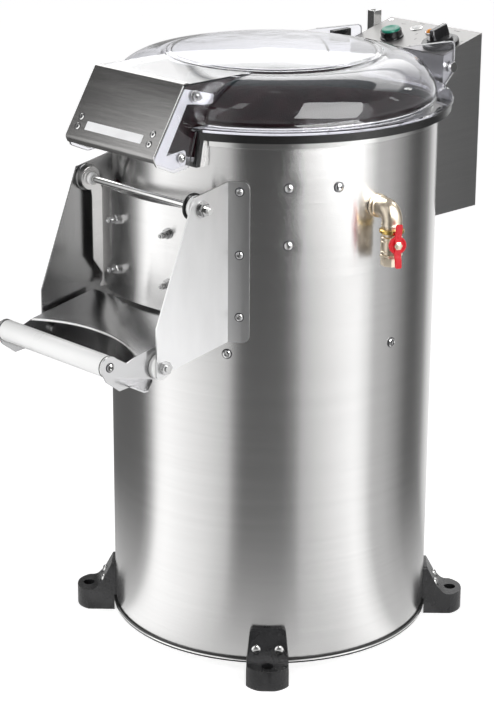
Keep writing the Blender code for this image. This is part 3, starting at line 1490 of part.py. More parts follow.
def make_hood_brackets(hinge):
    """The C-shaped steel plates inside the hood's side walls."""
    brow = -DRUM_RADIUS - HOOD_BROW_REACH + BRACKET_MARGIN
    fall = (HOOD_LIP_REACH - HOOD_BROW_REACH) / (HOOD_ROOF - HOOD_LIP_HEIGHT)

    def slope_y(z):
        return brow + BRACKET_MARGIN - (HOOD_ROOF - z) * fall

    tab_back = brow + BRACKET_FRONT_MARGIN + BRACKET_TAB_REACH
    foot_low = HOOD_KEEL_HEIGHT + BRACKET_MARGIN
    heel = -DRUM_RADIUS - HOOD_HEEL_REACH - BRACKET_MARGIN
    chin_z = HOOD_CHIN_HEIGHT + BRACKET_FRONT_MARGIN
    strip_back_top = BRACKET_TAB_TOP - BRACKET_TAB_DEPTH
    outline = rounded(
        [
            (slope_y(BRACKET_TAB_TOP), BRACKET_TAB_TOP, BRACKET_MARGIN),
            (slope_y(chin_z), chin_z, BRACKET_MARGIN),
            (-DRUM_RADIUS - HOOD_KEEL_REACH, foot_low, BRACKET_MARGIN),
            (heel, foot_low + BRACKET_MARGIN, BRACKET_MARGIN),
            (heel, BRACKET_FOOT_TOP, BRACKET_MARGIN),
            (slope_y(BRACKET_FOOT_TOP) + BRACKET_STRIP, BRACKET_FOOT_TOP - BRACKET_MARGIN, 0),
            (slope_y(strip_back_top) + BRACKET_STRIP, strip_back_top, 0),
            (tab_back, strip_back_top - BRACKET_TAB_FALL / 2, BRACKET_MARGIN),
            (tab_back, BRACKET_TAB_TOP - BRACKET_TAB_FALL, BRACKET_MARGIN),
        ],
        3,
    )
    far = HOOD_HALF_WIDTH - LID_WALL - GAP
    for hand, name in ((-1, "left"), (1, "right")):
        ends = sorted((hand * far, hand * (far - SHEET)))
        part(plate("bracket", outline, *ends), f"hood_bracket_{name}", STEEL, hinge)


def make_lid_fittings(root, hinge):
    start = BOX_HALF_WIDTH - SHEET - HINGE_TAIL
    face = LUG_HALF_SPAN + LUG_WALL + GAP
    shank = face - start
    for hand, name in ((-1, "left"), (1, "right")):
        profile = bolt_profile(HINGE_HEAD_RADIUS, HINGE_HEAD_HEIGHT, HINGE_BOLT_RADIUS, shank)
        bolt = turned("hinge_bolt", profile, SMALL_STEPS)
        bolt.rotation_euler.y = hand * math.pi / 2
        bolt.location = (hand * face, HINGE_REACH, HINGE_HEIGHT)
        part(bolt, f"lid_hinge_bolt_{name}", BRIGHT_STEEL, root)

    edge = -LUG_HALF_SPAN + GAP
    magnet = block(
        "magnet",
        (edge, MAGNET_FRONT, MAGNET_BOTTOM),
        (edge + MAGNET_WIDTH, MAGNET_FRONT + MAGNET_LENGTH, MAGNET_BOTTOM + MAGNET_HEIGHT),
    )
    part(magnet, "lid_interlock_magnet", BLACK_PLASTIC, hinge, bevel=BUTTON_EDGE)


# Control box


def panel_height(y):
    """The height of the box's sloping top at a distance behind the drum's axis."""
    return BOX_BACK_HEIGHT - (BOX_BACK - y) * math.tan(BOX_TILT)


def make_box(root):
    lift = SHEET / math.cos(BOX_TILT) + GAP
    back_top = panel_height(BOX_BACK) - lift
    front_top = panel_height(BOX_FRONT) - lift
    waist = DRUM_TOP - RIM_LEG - GAP
    outline = [
        (BOX_BACK, BOX_BOTTOM),
        (BOX_BACK, back_top),
        (BOX_FRONT, front_top),
        (BOX_FRONT, waist),
        (DRUM_RADIUS / 2, waist),
        (DRUM_RADIUS / 2, BOX_BOTTOM),
    ]
    box = plate("box", outline, -BOX_HALF_WIDTH, BOX_HALF_WIDTH)
    room_top = BOX_BACK_HEIGHT + CUT_OVERRUN
    room = [
        (BOX_BACK - SHEET, BOX_BOTTOM + SHEET),
        (BOX_BACK - SHEET, room_top),
        (BOX_FRONT + SHEET, room_top),
        (BOX_FRONT + SHEET, waist - SHEET),
        (DRUM_RADIUS / 4, waist - SHEET),
        (DRUM_RADIUS / 4, BOX_BOTTOM + SHEET),
    ]
    half = BOX_HALF_WIDTH - SHEET
    cut(box, drum_core("box_core"), plate("box_room", room, -half, half))
    for hand in (-1, 1):
        cut(box, side_hole("box_hinge_hole", hand, HINGE_BOLT_RADIUS, HINGE_REACH, HINGE_HEIGHT))
    part(box, "control_box", BOX_STEEL, root)

    side = -BOX_HALF_WIDTH - GAP
    low_x = side - STOP_WIDTH
    stop = block("stop", (low_x, STOP_FRONT, STOP_BOTTOM), (side, STOP_FRONT + STOP_DEPTH, STOP_TOP))
    hollow = block(
        "stop_hollow",
        (low_x + SHEET, STOP_FRONT + SHEET, STOP_BOTTOM - CUT_OVERRUN),
        (side - SHEET, STOP_FRONT + STOP_DEPTH + CUT_OVERRUN, STOP_TOP + CUT_OVERRUN),
    )
    part(cut(stop, hollow), "lid_stop_bracket", STEEL, root)

    inside = BOX_BACK - SHEET - GAP
    half = CONTACTOR_WIDTH / 2
    front = inside - CONTACTOR_DEPTH
    body = block(
        "contactor",
        (-half, front, CONTACTOR_BOTTOM),
        (half, inside, CONTACTOR_BOTTOM + CONTACTOR_HEIGHT),
    )
    step = CONTACTOR_DEPTH * CONTACTOR_STEP_SHARE
    for low in (CONTACTOR_BOTTOM - CUT_OVERRUN, CONTACTOR_BOTTOM + CONTACTOR_HEIGHT - step):
        cut(
            body,
            block(
                "contactor_step",
                (-half - CUT_OVERRUN, front - CUT_OVERRUN, low),
                (half + CUT_OVERRUN, front + step, low + step + CUT_OVERRUN),
            ),
        )
    part(body, "contactor", GREY_PAINT, root)


def make_panel(root):
    """The sloping panel with what is mounted on it, in a frame whose Z is square to the panel."""
    frame = empty("panel_frame", (0, BOX_FRONT, panel_height(BOX_FRONT)), root, (BOX_TILT, 0, 0))
    length = (BOX_BACK - BOX_FRONT) / math.cos(BOX_TILT)
    sheet = block("sheet", (-BOX_HALF_WIDTH, 0, -SHEET), (BOX_HALF_WIDTH, length, 0))
    holes = (
        ("button_hole", BUTTON_SIDE, BUTTON_BACK, BARREL_RADIUS),
        ("lamp_hole", LAMP_SIDE, LAMP_BACK, LAMP_RADIUS * LAMP_BARREL_SHARE),
        ("amber_hole", AMBER_SIDE, AMBER_BACK, AMBER_RADIUS * LAMP_BARREL_SHARE),
        ("selector_hole", SELECTOR_SIDE, SELECTOR_BACK, BARREL_RADIUS),
    )
    for name, side, back, radius in holes:
        cut(sheet, rod(name, radius + GAP, -CUT_OVERRUN, CUT_OVERRUN, place=(side, back, 0)))
    into_frame(sheet, frame)
    part(sheet, "control_panel", BOX_STEEL, frame)

    low = GAP
    top = BEZEL_HEIGHT
    bore = BEZEL_RADIUS - BEZEL_WALL
    stem_hole = BUTTON_STEM_RADIUS + GAP
    bezel = turned(
        "bezel",
        [
            (bore, top),
            (BEZEL_RADIUS, top),
            (BEZEL_RADIUS, low),
            (BARREL_RADIUS, low),
            (BARREL_RADIUS, -BARREL_DEPTH),
            (stem_hole, -BARREL_DEPTH),
            (stem_hole, BEZEL_FLOOR),
            (bore, BEZEL_FLOOR),
        ],
        MIDDLE_STEPS,
    )
    bezel.location = (BUTTON_SIDE, BUTTON_BACK, 0)
    part(into_frame(bezel, frame), "start_button_bezel", BLACK_PLASTIC, frame)

    skirt = BEZEL_HEIGHT - BUTTON_SKIRT
    crown = BEZEL_HEIGHT + BUTTON_PROUD
    cap_radius = bore - GAP
    cap = turned(
        "cap",
        [
            (0, crown - BUTTON_EDGE),
            (cap_radius - 2 * BUTTON_EDGE, crown),
            (cap_radius - BUTTON_EDGE, crown),
            (cap_radius, crown - BUTTON_EDGE),
            (cap_radius, skirt),
            (BUTTON_STEM_RADIUS, skirt),
            (BUTTON_STEM_RADIUS, -BARREL_DEPTH),
            (0, -BARREL_DEPTH),
        ],
        MIDDLE_STEPS,
    )
    cap.location = (BUTTON_SIDE, BUTTON_BACK, 0)
    into_frame(cap, frame)
    slide = empty("start_button_slide", (0, 0, 0), frame)
    slide.matrix_world = cap.matrix_world
    bpy.context.view_layer.update()
    part(cap, "start_button", GREEN_PLASTIC, slide)

    lamps = (
        ("power_lamp", LAMP_SIDE, LAMP_BACK, LAMP_RADIUS, LAMP_HEIGHT, WHITE_PLASTIC),
        ("warning_lamp", AMBER_SIDE, AMBER_BACK, AMBER_RADIUS, AMBER_HEIGHT, AMBER_PLASTIC),
    )
    for name, side, back, radius, height, look in lamps:
        barrel = radius * LAMP_BARREL_SHARE
        lamp = turned(
            name + "_profile",
            [
                (0, height),
                (radius * LAMP_BARREL_SHARE, height),
                (radius, height / 2),
                (radius, low),
                (barrel, low),
                (barrel, -BARREL_DEPTH),
                (0, -BARREL_DEPTH),
            ],
            SMALL_STEPS,
        )
        lamp.location = (side, back, 0)
        part(into_frame(lamp, frame), name, look, frame)

    place = (SELECTOR_SIDE, SELECTOR_BACK, 0)
    base = turned(
        "selector",
        [
            (0, SELECTOR_BASE_HEIGHT),
            (SELECTOR_BASE_RADIUS - SELECTOR_BASE_EDGE, SELECTOR_BASE_HEIGHT),
            (SELECTOR_BASE_RADIUS, SELECTOR_BASE_HEIGHT - SELECTOR_BASE_EDGE),
            (SELECTOR_BASE_RADIUS, low),
            (BARREL_RADIUS, low),
            (BARREL_RADIUS, -BARREL_DEPTH),
            (0, -BARREL_DEPTH),
        ],
        MIDDLE_STEPS,
    )
    base.location = place
    part(into_frame(base, frame), "selector_base", BLACK_PLASTIC, frame)

    knob_low = SELECTOR_BASE_HEIGHT + GAP
    knob = rod("skirt", KNOB_SKIRT_RADIUS, knob_low, knob_low + KNOB_SKIRT_HEIGHT, steps=MIDDLE_STEPS)
    bar = block(
        "bar",
        (-KNOB_WIDTH / 2, -KNOB_LENGTH / 2, knob_low + KNOB_SKIRT_HEIGHT / 2),
        (KNOB_WIDTH / 2, KNOB_LENGTH / 2, KNOB_TOP),
    )
    for vertex in bar.data.vertices:
        if vertex.co.z > knob_low + KNOB_SKIRT_HEIGHT:
            vertex.co.x *= KNOB_TOP_WIDTH_SHARE
            vertex.co.y *= KNOB_TOP_LENGTH_SHARE
    for shape in (knob, bar):
        shape.location = place
        into_frame(shape, frame)
    turn = empty("selector_turn", (0, 0, 0), frame)
    turn.matrix_world = knob.matrix_world
    bpy.context.view_layer.update()
    part(join(knob, bar), "selector_knob", BLACK_PLASTIC, turn, bevel=KNOB_EDGE)


def into_frame(obj, frame):
    """Moves an object, and the shapes that cut or join it, into a frame of its own."""
    bpy.context.view_layer.update()
    for modifier in obj.modifiers:
        if modifier.type == "BOOLEAN":
            into_frame(modifier.object, frame)
    obj.matrix_world = frame.matrix_world @ obj.matrix_world
    bpy.context.view_layer.update()
    return obj


# Water inlet


def inlet_hole(name):
    """The hole through the drum's wall for the water inlet."""
    radius = INLET_BORE + HOLE_CLEARANCE
    low = -DRUM_RADIUS - CUT_OVERRUN
    high = -DRUM_RADIUS + CUT_OVERRUN
    hole = rod(name, radius, low, high, "y", place=(0, 0, INLET_HEIGHT))
    return spin(hole, INLET_ANGLE)


def make_inlet(root, lever_turn):
    face = DRUM_RADIUS + GAP
    axis = DRUM_RADIUS + ELBOW_REACH
    spout_end = INLET_HEIGHT - ELBOW_DROP
    bend_centre = (-axis + ELBOW_BEND, INLET_HEIGHT - ELBOW_BEND)
    bend = arc(bend_centre, ELBOW_BEND, 90, 180, ELBOW_BEND_STEPS)
    path = [(0, -face, INLET_HEIGHT), *[(0, u, v) for u, v in bend], (0, -axis, spout_end)]
    elbow = tube("elbow", path, ELBOW_RADIUS, 4)
    collar = rod("elbow_collar", ELBOW_COLLAR_RADIUS, -face - ELBOW_COLLAR_LENGTH, -face, "y")
    socket = rod("elbow_socket", INLET_BORE + GAP, -face - INLET_DEPTH, -face + CUT_OVERRUN, "y")
    for shape in (collar, socket):
        shape.location.z = INLET_HEIGHT
    cut(join(elbow, collar), socket, drum_core("elbow_core"))

    neck_low = spout_end - GAP - VALVE_NECK_LENGTH
    body_low = neck_low - VALVE_BODY_LENGTH
    hex_low = body_low - VALVE_HEX_LENGTH
    tail_low = hex_low - VALVE_TAIL_LENGTH
    body = turned(
        "valve",
        [
            (0, spout_end - GAP),
            (VALVE_NECK_RADIUS, spout_end - GAP),
            (VALVE_NECK_RADIUS, neck_low),
            (VALVE_BODY_RADIUS, neck_low),
            (VALVE_BODY_RADIUS, body_low),
            (VALVE_HEX_RADIUS, body_low),
            (VALVE_HEX_RADIUS, hex_low),
            (VALVE_TAIL_RADIUS, hex_low),
            (VALVE_TAIL_RADIUS, tail_low),
            (VALVE_BORE, tail_low),
            (VALVE_BORE, hex_low),
            (0, hex_low),
        ],
        SMALL_STEPS,
    )
    body.location.y = -axis
    stem_height = neck_low - VALVE_BODY_LENGTH * STEM_DROP_SHARE
    stem = rod("stem", STEM_RADIUS, -STEM_LENGTH - LEVER_HUB_HEIGHT, 0, "y")
    stem.rotation_euler.z = STEM_ANGLE - INLET_ANGLE
    stem.location = (0, -axis, stem_height)
    join(body, stem)

    nut_high = spout_end - GAP - (VALVE_NECK_LENGTH - VALVE_NUT_LENGTH) / 2
    nut = ring(
        "nut", VALVE_NECK_RADIUS + GAP, VALVE_NUT_RADIUS, nut_high - VALVE_NUT_LENGTH, nut_high, SMALL_STEPS
    )
    nut.location.y = -axis

    flange_face = DRUM_RADIUS - SHEET - GAP - LINER_WALL - GAP
    stem_out = face + INLET_DEPTH - GAP
    nozzle = turned(
        "nozzle",
        [
            (0, stem_out),
            (INLET_BORE, stem_out),
            (INLET_BORE, at_drum(NOZZLE_FLANGE_RADIUS, flange_face)),
            (NOZZLE_FLANGE_RADIUS, at_drum(NOZZLE_FLANGE_RADIUS, flange_face)),
            (NOZZLE_FLANGE_RADIUS, flange_face - NOZZLE_FLANGE),
            (INLET_BORE, flange_face - NOZZLE_LENGTH),
            (0, flange_face - NOZZLE_LENGTH),
        ],
        SMALL_STEPS,
    )
    nozzle.rotation_euler.x = math.pi / 2
    nozzle.location.z = INLET_HEIGHT

    frame = empty("inlet_frame", (0, 0, 0), root)
    part(elbow, "inlet_elbow", BRASS, frame)
    part(body, "valve_body", BRASS, frame)
    part(nut, "valve_union_nut", BRASS, frame)
    part(nozzle, "spray_nozzle", BRASS, frame)
    frame.rotation_euler.z = INLET_ANGLE
    bpy.context.view_layer.update()

    hub_low = STEM_LENGTH + GAP
    hub = rod("hub", LEVER_HUB_RADIUS, hub_low, hub_low + LEVER_HUB_HEIGHT, steps=SMALL_STEPS)
    arm_low = hub_low + LEVER_HUB_HEIGHT - LEVER_THICKNESS
    half = LEVER_WIDTH / 2
    arms = rounded(
        [
            (-half, -LEVER_SPAN, half),
            (half, -LEVER_SPAN, half),
            (half, LEVER_SPAN, half),
            (-half, LEVER_SPAN, half),
        ]
    )
    arm = plate("arms", arms, arm_low, arm_low + LEVER_LIFT, axis="z")
    top = hub_low + LEVER_HUB_HEIGHT + LEVER_NUT_HEIGHT
    cap = rod("lever_cap", LEVER_NUT_RADIUS, hub_low, top, steps=SMALL_STEPS)
    bore = rod("lever_bore", STEM_RADIUS + GAP, 0, STEM_LENGTH + LEVER_HUB_HEIGHT + GAP)
    lever = cut(join(hub, arm, cap), bore)
    lever_turn.location = radial(INLET_ANGLE, axis, stem_height)
    lever_turn.rotation_euler = (math.pi / 2, 0, STEM_ANGLE)
    bpy.context.view_layer.update()
    into_frame(lever, lever_turn)
    part(lever, "valve_lever", RED_PAINT, lever_turn)


def floor_print_middle():
    """The middle of the machine's bounding box in plan, and its lowest height."""
    bpy.context.view_layer.update()
    graph = bpy.context.evaluated_depsgraph_get()
    corners = []
    for obj in bpy.data.collections[PARTS].objects:
        if obj.type == "MESH":
            solid = obj.evaluated_get(graph)
            corners += [solid.matrix_world @ vertex.co for vertex in solid.data.vertices]
    lows = [min(corner[i] for corner in corners) for i in range(3)]
    highs = [max(corner[i] for corner in corners) for i in range(3)]
    return Vector(((lows[0] + highs[0]) / 2, (lows[1] + highs[1]) / 2, lows[2]))


def main():
    clear_scene()
    root = empty("machine", (0, 0, 0))
    lid_hinge = empty("lid_hinge", (0, HINGE_REACH, HINGE_HEIGHT), root)
    door_hinge = empty("door_hinge", (0, -DRUM_RADIUS - ROD_REACH, ROD_HEIGHT), root)
    tray_hinge = empty("tray_hinge", (0, -DRUM_RADIUS - TRAY_PIVOT_REACH, TRAY_PIVOT_HEIGHT), root)
    spindle = empty("spindle", (0, 0, SHAFT_BOTTOM), root)
    rotor = empty("rotor", (-MOTOR_REACH, 0, PULLEY_HEIGHT), root)
    lever_turn = empty("lever_turn", (0, 0, 0), root)

    base_top = make_drum(root)
    make_rim(root)
    make_feet(root)
    make_outlet_frame(root)
    make_rod(root)
    make_door(door_hinge)
    make_tray(tray_hinge)
    make_pivots(root)
    make_chamber(root)
    make_disc(spindle)
    make_housing(root)
    make_motor(root, rotor, base_top)
    make_belt(root)
    make_lid(lid_hinge)
    make_front_plate(lid_hinge)
    make_hood_brackets(lid_hinge)
    make_lid_fittings(root, lid_hinge)
    make_box(root)
    make_panel(root)
    make_inlet(root, lever_turn)
    root.location = -floor_print_middle()


main()
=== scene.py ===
"""Looks of the potato peeler machine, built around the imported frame."""

import math

import bmesh
import bpy
from mathutils import Matrix, Vector


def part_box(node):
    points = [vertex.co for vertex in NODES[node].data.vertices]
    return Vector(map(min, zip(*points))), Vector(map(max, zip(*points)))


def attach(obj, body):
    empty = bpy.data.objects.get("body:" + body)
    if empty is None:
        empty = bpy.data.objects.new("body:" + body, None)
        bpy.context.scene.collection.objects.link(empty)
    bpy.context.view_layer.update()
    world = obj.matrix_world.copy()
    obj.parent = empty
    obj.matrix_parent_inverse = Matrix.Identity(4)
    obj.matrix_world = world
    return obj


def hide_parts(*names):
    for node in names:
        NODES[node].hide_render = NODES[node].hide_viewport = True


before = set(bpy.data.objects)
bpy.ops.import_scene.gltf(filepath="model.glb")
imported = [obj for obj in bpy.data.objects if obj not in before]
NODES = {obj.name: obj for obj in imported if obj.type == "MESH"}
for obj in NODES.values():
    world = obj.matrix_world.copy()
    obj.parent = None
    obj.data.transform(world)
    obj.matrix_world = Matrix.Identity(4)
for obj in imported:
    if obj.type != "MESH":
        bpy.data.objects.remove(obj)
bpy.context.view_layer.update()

# Places shared with the solids, in metres from the drum's axis and the floor
shell_low, shell_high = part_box("drum_shell")
AXIS = (shell_low + shell_high) / 2
DRUM_RADIUS = (shell_high.x - shell_low.x) / 2
ORIGIN = Vector((AXIS.x, AXIS.y, 0))
GAP = 0.0003
INLET_AZIMUTH = 82.4
INLET_HEIGHT = 0.5815
INLET_BORE = 0.0064


def at(x, y, z):
    """A point given from the drum's axis and the floor, in the scene's frame."""
    return ORIGIN + Vector((x, y, z))


def radial(azimuth, reach, height=0.0):
    """A point round the drum, at an azimuth in degrees from the front towards +X."""
    angle = math.radians(azimuth)
    return Vector((reach * math.sin(angle), -reach * math.cos(angle), height))


def linked(name, data):
    """A new object in the scene."""
    made = bpy.data.objects.new(name, data)
    bpy.context.scene.collection.objects.link(made)
    return made


# Camera, lamps and surroundings

CAMERA_PLACE = (1.8458, -1.8280, 1.2296)
CAMERA_HEADING = 45.95
CAMERA_PITCH = 18.749
CAMERA_ROLL = 0.304
CAMERA_LENS = 111.66
CAMERA_SENSOR = 36
LAMP_REACH = 1.6
LAMP_HEIGHT = 0.9
LAMP_AIM = 0.35
LAMP_SIZE = (1.5, 1.8)
LAMP_WATTS = 14
WORLD_LEVEL = 0.45
FLOOR_SHADE = 0.96
FLOOR_REACH = 9
FLOOR_GLOW = 0.55
FLOOR_ROUGHNESS = 0.9
FLOOR_SHINE = 0.1
CARD_REACH = 0.60
CARD_TOP = 0.86
CARD_STEP = 0.01
CARD_FOOT_REACH = 0.22
CARD_FOOT_HEIGHT = 0.002
CARD_FOOT_LEVEL = 0.75
CARD_BASE_LEVEL = 0.16
CARDS = (
    (-135, 0.9), (-110, 0.35), (-95, 0.12), (-70, 0.04), (-55, 0.05), (-43, 0.10),
    (-36, 0.5), (-29, 1.4), (-22, 1.45), (14, 0.85), (20, 0.70), (24, 0.30),
    (29, 0.06), (40, 0.05), (53, 0.06), (59, 0.25), (64, 0.62), (70, 0.75),
    (97, 1.40), (104, 1.2), (110, 0.65), (120, 0.6), (131, 0.38), (141, 0.15),
    (152, 0.06), (165, 0.25), (175, 0.8), (200, 1.2), (225, 0.9),
)
BACK_BOX_AZIMUTHS = (-175, -70)
BACK_BOX_TOP = 0.99
BACK_BOX_LEVEL = 2.8
UPPER_ROWS = ((1.02, 0.8), (1.06, 3.9), (1.33, 3.9), (1.36, 0.12), (1.75, 0.10))
UPPER_FRONT = (-60, 150)
UPPER_FRONT_LEVEL = 0.10
CEILING_REACH = 0.05
PATCH_REACH = 0.58
PATCHES = (
    (10.0, (57, 0.74), (94, 0.64), (108, 1.06), (72, 1.45)),
    (3.0, (17, 1.02), (25, 1.02), (26, 1.36), (18, 1.36)),
    (8.0, (151, 0.90), (155, 0.90), (155, 0.99), (151, 0.99)),
    (4.0, (128, 0.84), (131, 0.84), (131, 0.96), (128, 0.96)),
)


def camera():
    """The scene's camera, at its place and angles."""
    heading, pitch, roll = (math.radians(a) for a in (CAMERA_HEADING, CAMERA_PITCH, CAMERA_ROLL))
    level = Vector((math.cos(heading), math.sin(heading), 0))
    flat = math.cos(pitch)
    ahead = Vector((-math.sin(heading) * flat, math.cos(heading) * flat, -math.sin(pitch)))
    above = level.cross(ahead)
    right = level * math.cos(roll) + above * math.sin(roll)
    top = above * math.cos(roll) - level * math.sin(roll)
    data = bpy.data.cameras.new("camera")
    data.lens = CAMERA_LENS
    data.sensor_width = CAMERA_SENSOR
    made = linked("camera", data)
    turn = Matrix((right, top, -ahead)).transposed().to_4x4()
    made.matrix_world = Matrix.Translation(at(*CAMERA_PLACE)) @ turn
    bpy.context.scene.camera = made


def around(azimuth, reach, height):
    """A point of the scene round the drum."""
    return ORIGIN + radial(azimuth, reach, height)


def softbox(name, azimuth):
    """A large soft lamp beside the object, which gloss doesn't show."""
    data = bpy.data.lights.new(name, "AREA")
    data.shape = "RECTANGLE"
    data.size, data.size_y = LAMP_SIZE
    data.energy = LAMP_WATTS
    lamp = linked(name, data)
    lamp.location = around(azimuth, LAMP_REACH, LAMP_HEIGHT)
    ahead = at(0, 0, LAMP_AIM) - lamp.location
    lamp.rotation_mode = "QUATERNION"
    lamp.rotation_quaternion = ahead.to_track_quat("-Z", "Y")
    lamp.visible_glossy = False


def new_node(tree, kind, links=(), **settings):
    """A node with its settings, whose inputs are linked or given a value."""
    made = tree.nodes.new(kind)
    for key, value in settings.items():
        setattr(made, key, value)
    for key, value in dict(links).items():
        if isinstance(value, bpy.types.NodeSocket):
            tree.links.new(value, made.inputs[key])
        else:
            made.inputs[key].default_value = value
    return made


def white_to_eye(tree, plain, bright):
    """The bright shader for the camera, in gloss and through glass, and the plain one otherwise."""
    rays = new_node(tree, "ShaderNodeLightPath").outputs
    share = rays["Is Camera Ray"]
    for ray in ("Is Glossy Ray", "Is Transmission Ray"):
        share = new_node(tree, "ShaderNodeMath", {0: share, 1: rays[ray]}, operation="MAXIMUM").outputs[0]
    return new_node(tree, "ShaderNodeMixShader", {0: share, 1: plain, 2: bright}).outputs[0]


def surroundings():
    """A plain world: soft light on the object, and white behind it."""
    world = bpy.data.worlds.new("studio")
    bpy.context.scene.world = world
    world.use_nodes = True
    tree = world.node_tree
    plain = tree.nodes["Background"]
    white = tree.nodes.new("ShaderNodeBackground")
    for node, level in ((plain, WORLD_LEVEL), (white, 1.0)):
        node.inputs["Color"].default_value = (1, 1, 1, 1)
        node.inputs["Strength"].default_value = level
    mixed = white_to_eye(tree, plain.outputs[0], white.outputs[0])
    tree.links.new(mixed, tree.nodes["World Output"].inputs[0])


def floor():
    """A plain pale floor, white to the camera but for the object's shadow."""
    material = bpy.data.materials.new("studio_floor")
    material.use_nodes = True
    tree = material.node_tree
    shader = tree.nodes["Principled BSDF"]
    shader.inputs["Base Color"].default_value = (FLOOR_SHADE, FLOOR_SHADE, FLOOR_SHADE, 1)
    shader.inputs["Roughness"].default_value = FLOOR_ROUGHNESS
    shader.inputs["Specular IOR Level"].default_value = FLOOR_SHINE
    matt = shader.outputs[0]
    glow = new_node(tree, "ShaderNodeEmission", {"Strength": FLOOR_GLOW}).outputs[0]
    added = new_node(tree, "ShaderNodeAddShader", {0: matt, 1: glow}).outputs[0]
    tree.links.new(white_to_eye(tree, matt, added), tree.nodes["Material Output"].inputs[0])
    corners = [(-1, -1), (1, -1), (1, 1), (-1, 1)]
    mesh = bpy.data.meshes.new("studio_floor")
    mesh.from_pydata([at(x * FLOOR_REACH, y * FLOOR_REACH, 0) for x, y in corners], [], [(0, 1, 2, 3)])
    mesh.materials.append(material)
    made = linked("studio_floor", mesh)


def cards():
    """A ring of white, grey and black studio cards that only gloss sees."""
    material = bpy.data.materials.new("studio_cards")
    material.use_nodes = True
    tree = material.node_tree
    shade = new_node(tree, "ShaderNodeAttribute", attribute_name="shade").outputs["Fac"]
    glow = new_node(tree, "ShaderNodeEmission", {"Strength": shade}).outputs[0]
    tree.links.new(glow, tree.nodes["Material Output"].inputs[0])
    verts, faces, shades = [], [], []
    for azimuth, level in CARDS:
        back = BACK_BOX_AZIMUTHS[0] <= (azimuth + 180) % 360 - 180 <= BACK_BOX_AZIMUTHS[1]
        front = UPPER_FRONT[0] < azimuth < UPPER_FRONT[1]
        rows = [
            (CARD_FOOT_REACH, CARD_FOOT_HEIGHT, max(level, CARD_FOOT_LEVEL)),
            (CARD_REACH, CARD_FOOT_HEIGHT, max(level, CARD_BASE_LEVEL)),
            (CARD_REACH, CARD_TOP, level),
            (CARD_REACH, CARD_TOP + CARD_STEP, BACK_BOX_LEVEL if back else level),
            (CARD_REACH, BACK_BOX_TOP, BACK_BOX_LEVEL if back else level),
        ]
        for height, upper in UPPER_ROWS:
            rows.append((CARD_REACH, height, UPPER_FRONT_LEVEL if front else upper))
        rows.append((CEILING_REACH, *UPPER_ROWS[-1]))
        verts += [around(azimuth, reach, height) for reach, height, shade in rows]
        shades += [shade for reach, height, shade in rows]
    count = len(rows)
    for i in range(0, count * (len(CARDS) - 1), count):
        for j in range(i, i + count - 1):
            faces.append((j, j + count, j + count + 1, j + 1))
    for level, *corners in PATCHES:
        start = len(verts)
        verts += [around(azimuth, PATCH_REACH, height) for azimuth, height in corners]
        shades += [level] * len(corners)
        faces.append(tuple(range(start, start + len(corners))))
    mesh = bpy.data.meshes.new("studio_cards")
    mesh.from_pydata(verts, [], faces)
    mesh.attributes.new("shade", "FLOAT", "POINT").data.foreach_set("value", shades)
    mesh.materials.append(material)
    made = linked("studio_cards", mesh)
    for rays in ("camera", "diffuse", "transmission", "volume_scatter", "shadow"):
        setattr(made, f"visible_{rays}", False)


# Materials

FINE_GRAIN = 900.0
COARSE_GRAIN = 160.0
BROAD_GRAIN = 35.0
SATIN_GRAIN = 60.0
LID_WAVES = 9.0


class Graph:
    """A material's nodes, added one by one."""

    def __init__(self, name, colour, roughness, metallic=0.0, **values):
        self.made = bpy.data.materials.new(name)
        self.made.use_nodes = True
        self.tree = self.made.node_tree
        self.shader = self.tree.nodes["Principled BSDF"]
        self.set("Base Color", (*colour, 1))
        self.set("Roughness", roughness)
        self.set("Metallic", metallic)
        for key, value in values.items():
            self.set(key.replace("_", " "), value)
        self.coordinates = self.add("ShaderNodeTexCoord")
        self.spot = self.coordinates.outputs["Object"]

    def set(self, key, value):
        self.shader.inputs[key].default_value = value

    def add(self, kind, links=(), **settings):
        return new_node(self.tree, kind, links, **settings)

    def join(self, value, key):
        self.tree.links.new(value, self.shader.inputs[key])

    def stretched(self, scale):
        return self.add("ShaderNodeMapping", {"Vector": self.spot, "Scale": scale}).outputs[0]

    def noise(self, scale, stretch=(1, 1, 1), detail=3.0, rough=0.5):
        values = {"Vector": self.stretched(stretch), "Scale": scale, "Detail": detail, "Roughness": rough}
        return self.add("ShaderNodeTexNoise", values).outputs[0]

    def maths(self, operation, *values):
        return self.add("ShaderNodeMath", dict(enumerate(values)), operation=operation).outputs[0]

    def ranged(self, value, low, high, start=0.25, end=0.75):
        ends = {"Value": value, "From Min": start, "From Max": end, "To Min": low, "To Max": high}
        return self.add("ShaderNodeMapRange", ends).outputs[0]

    def shaded(self, value, dark, light):
        values = {"Factor": value, 6: (*dark, 1), 7: (*light, 1)}
        return self.add("ShaderNodeMix", values, data_type="RGBA").outputs[2]

    def tinted(self, value, colour, spread):
        """Colours the surface a little darker and lighter than a colour, by a value."""
        low = tuple(c * (1 - spread) for c in colour)
        high = tuple(min(1.0, c * (1 + spread)) for c in colour)
        self.join(self.shaded(value, low, high), "Base Color")

    def bump(self, height, distance, strength=1.0):
        links = {"Height": height, "Distance": distance, "Strength": strength}
        return self.add("ShaderNodeBump", links).outputs[0]


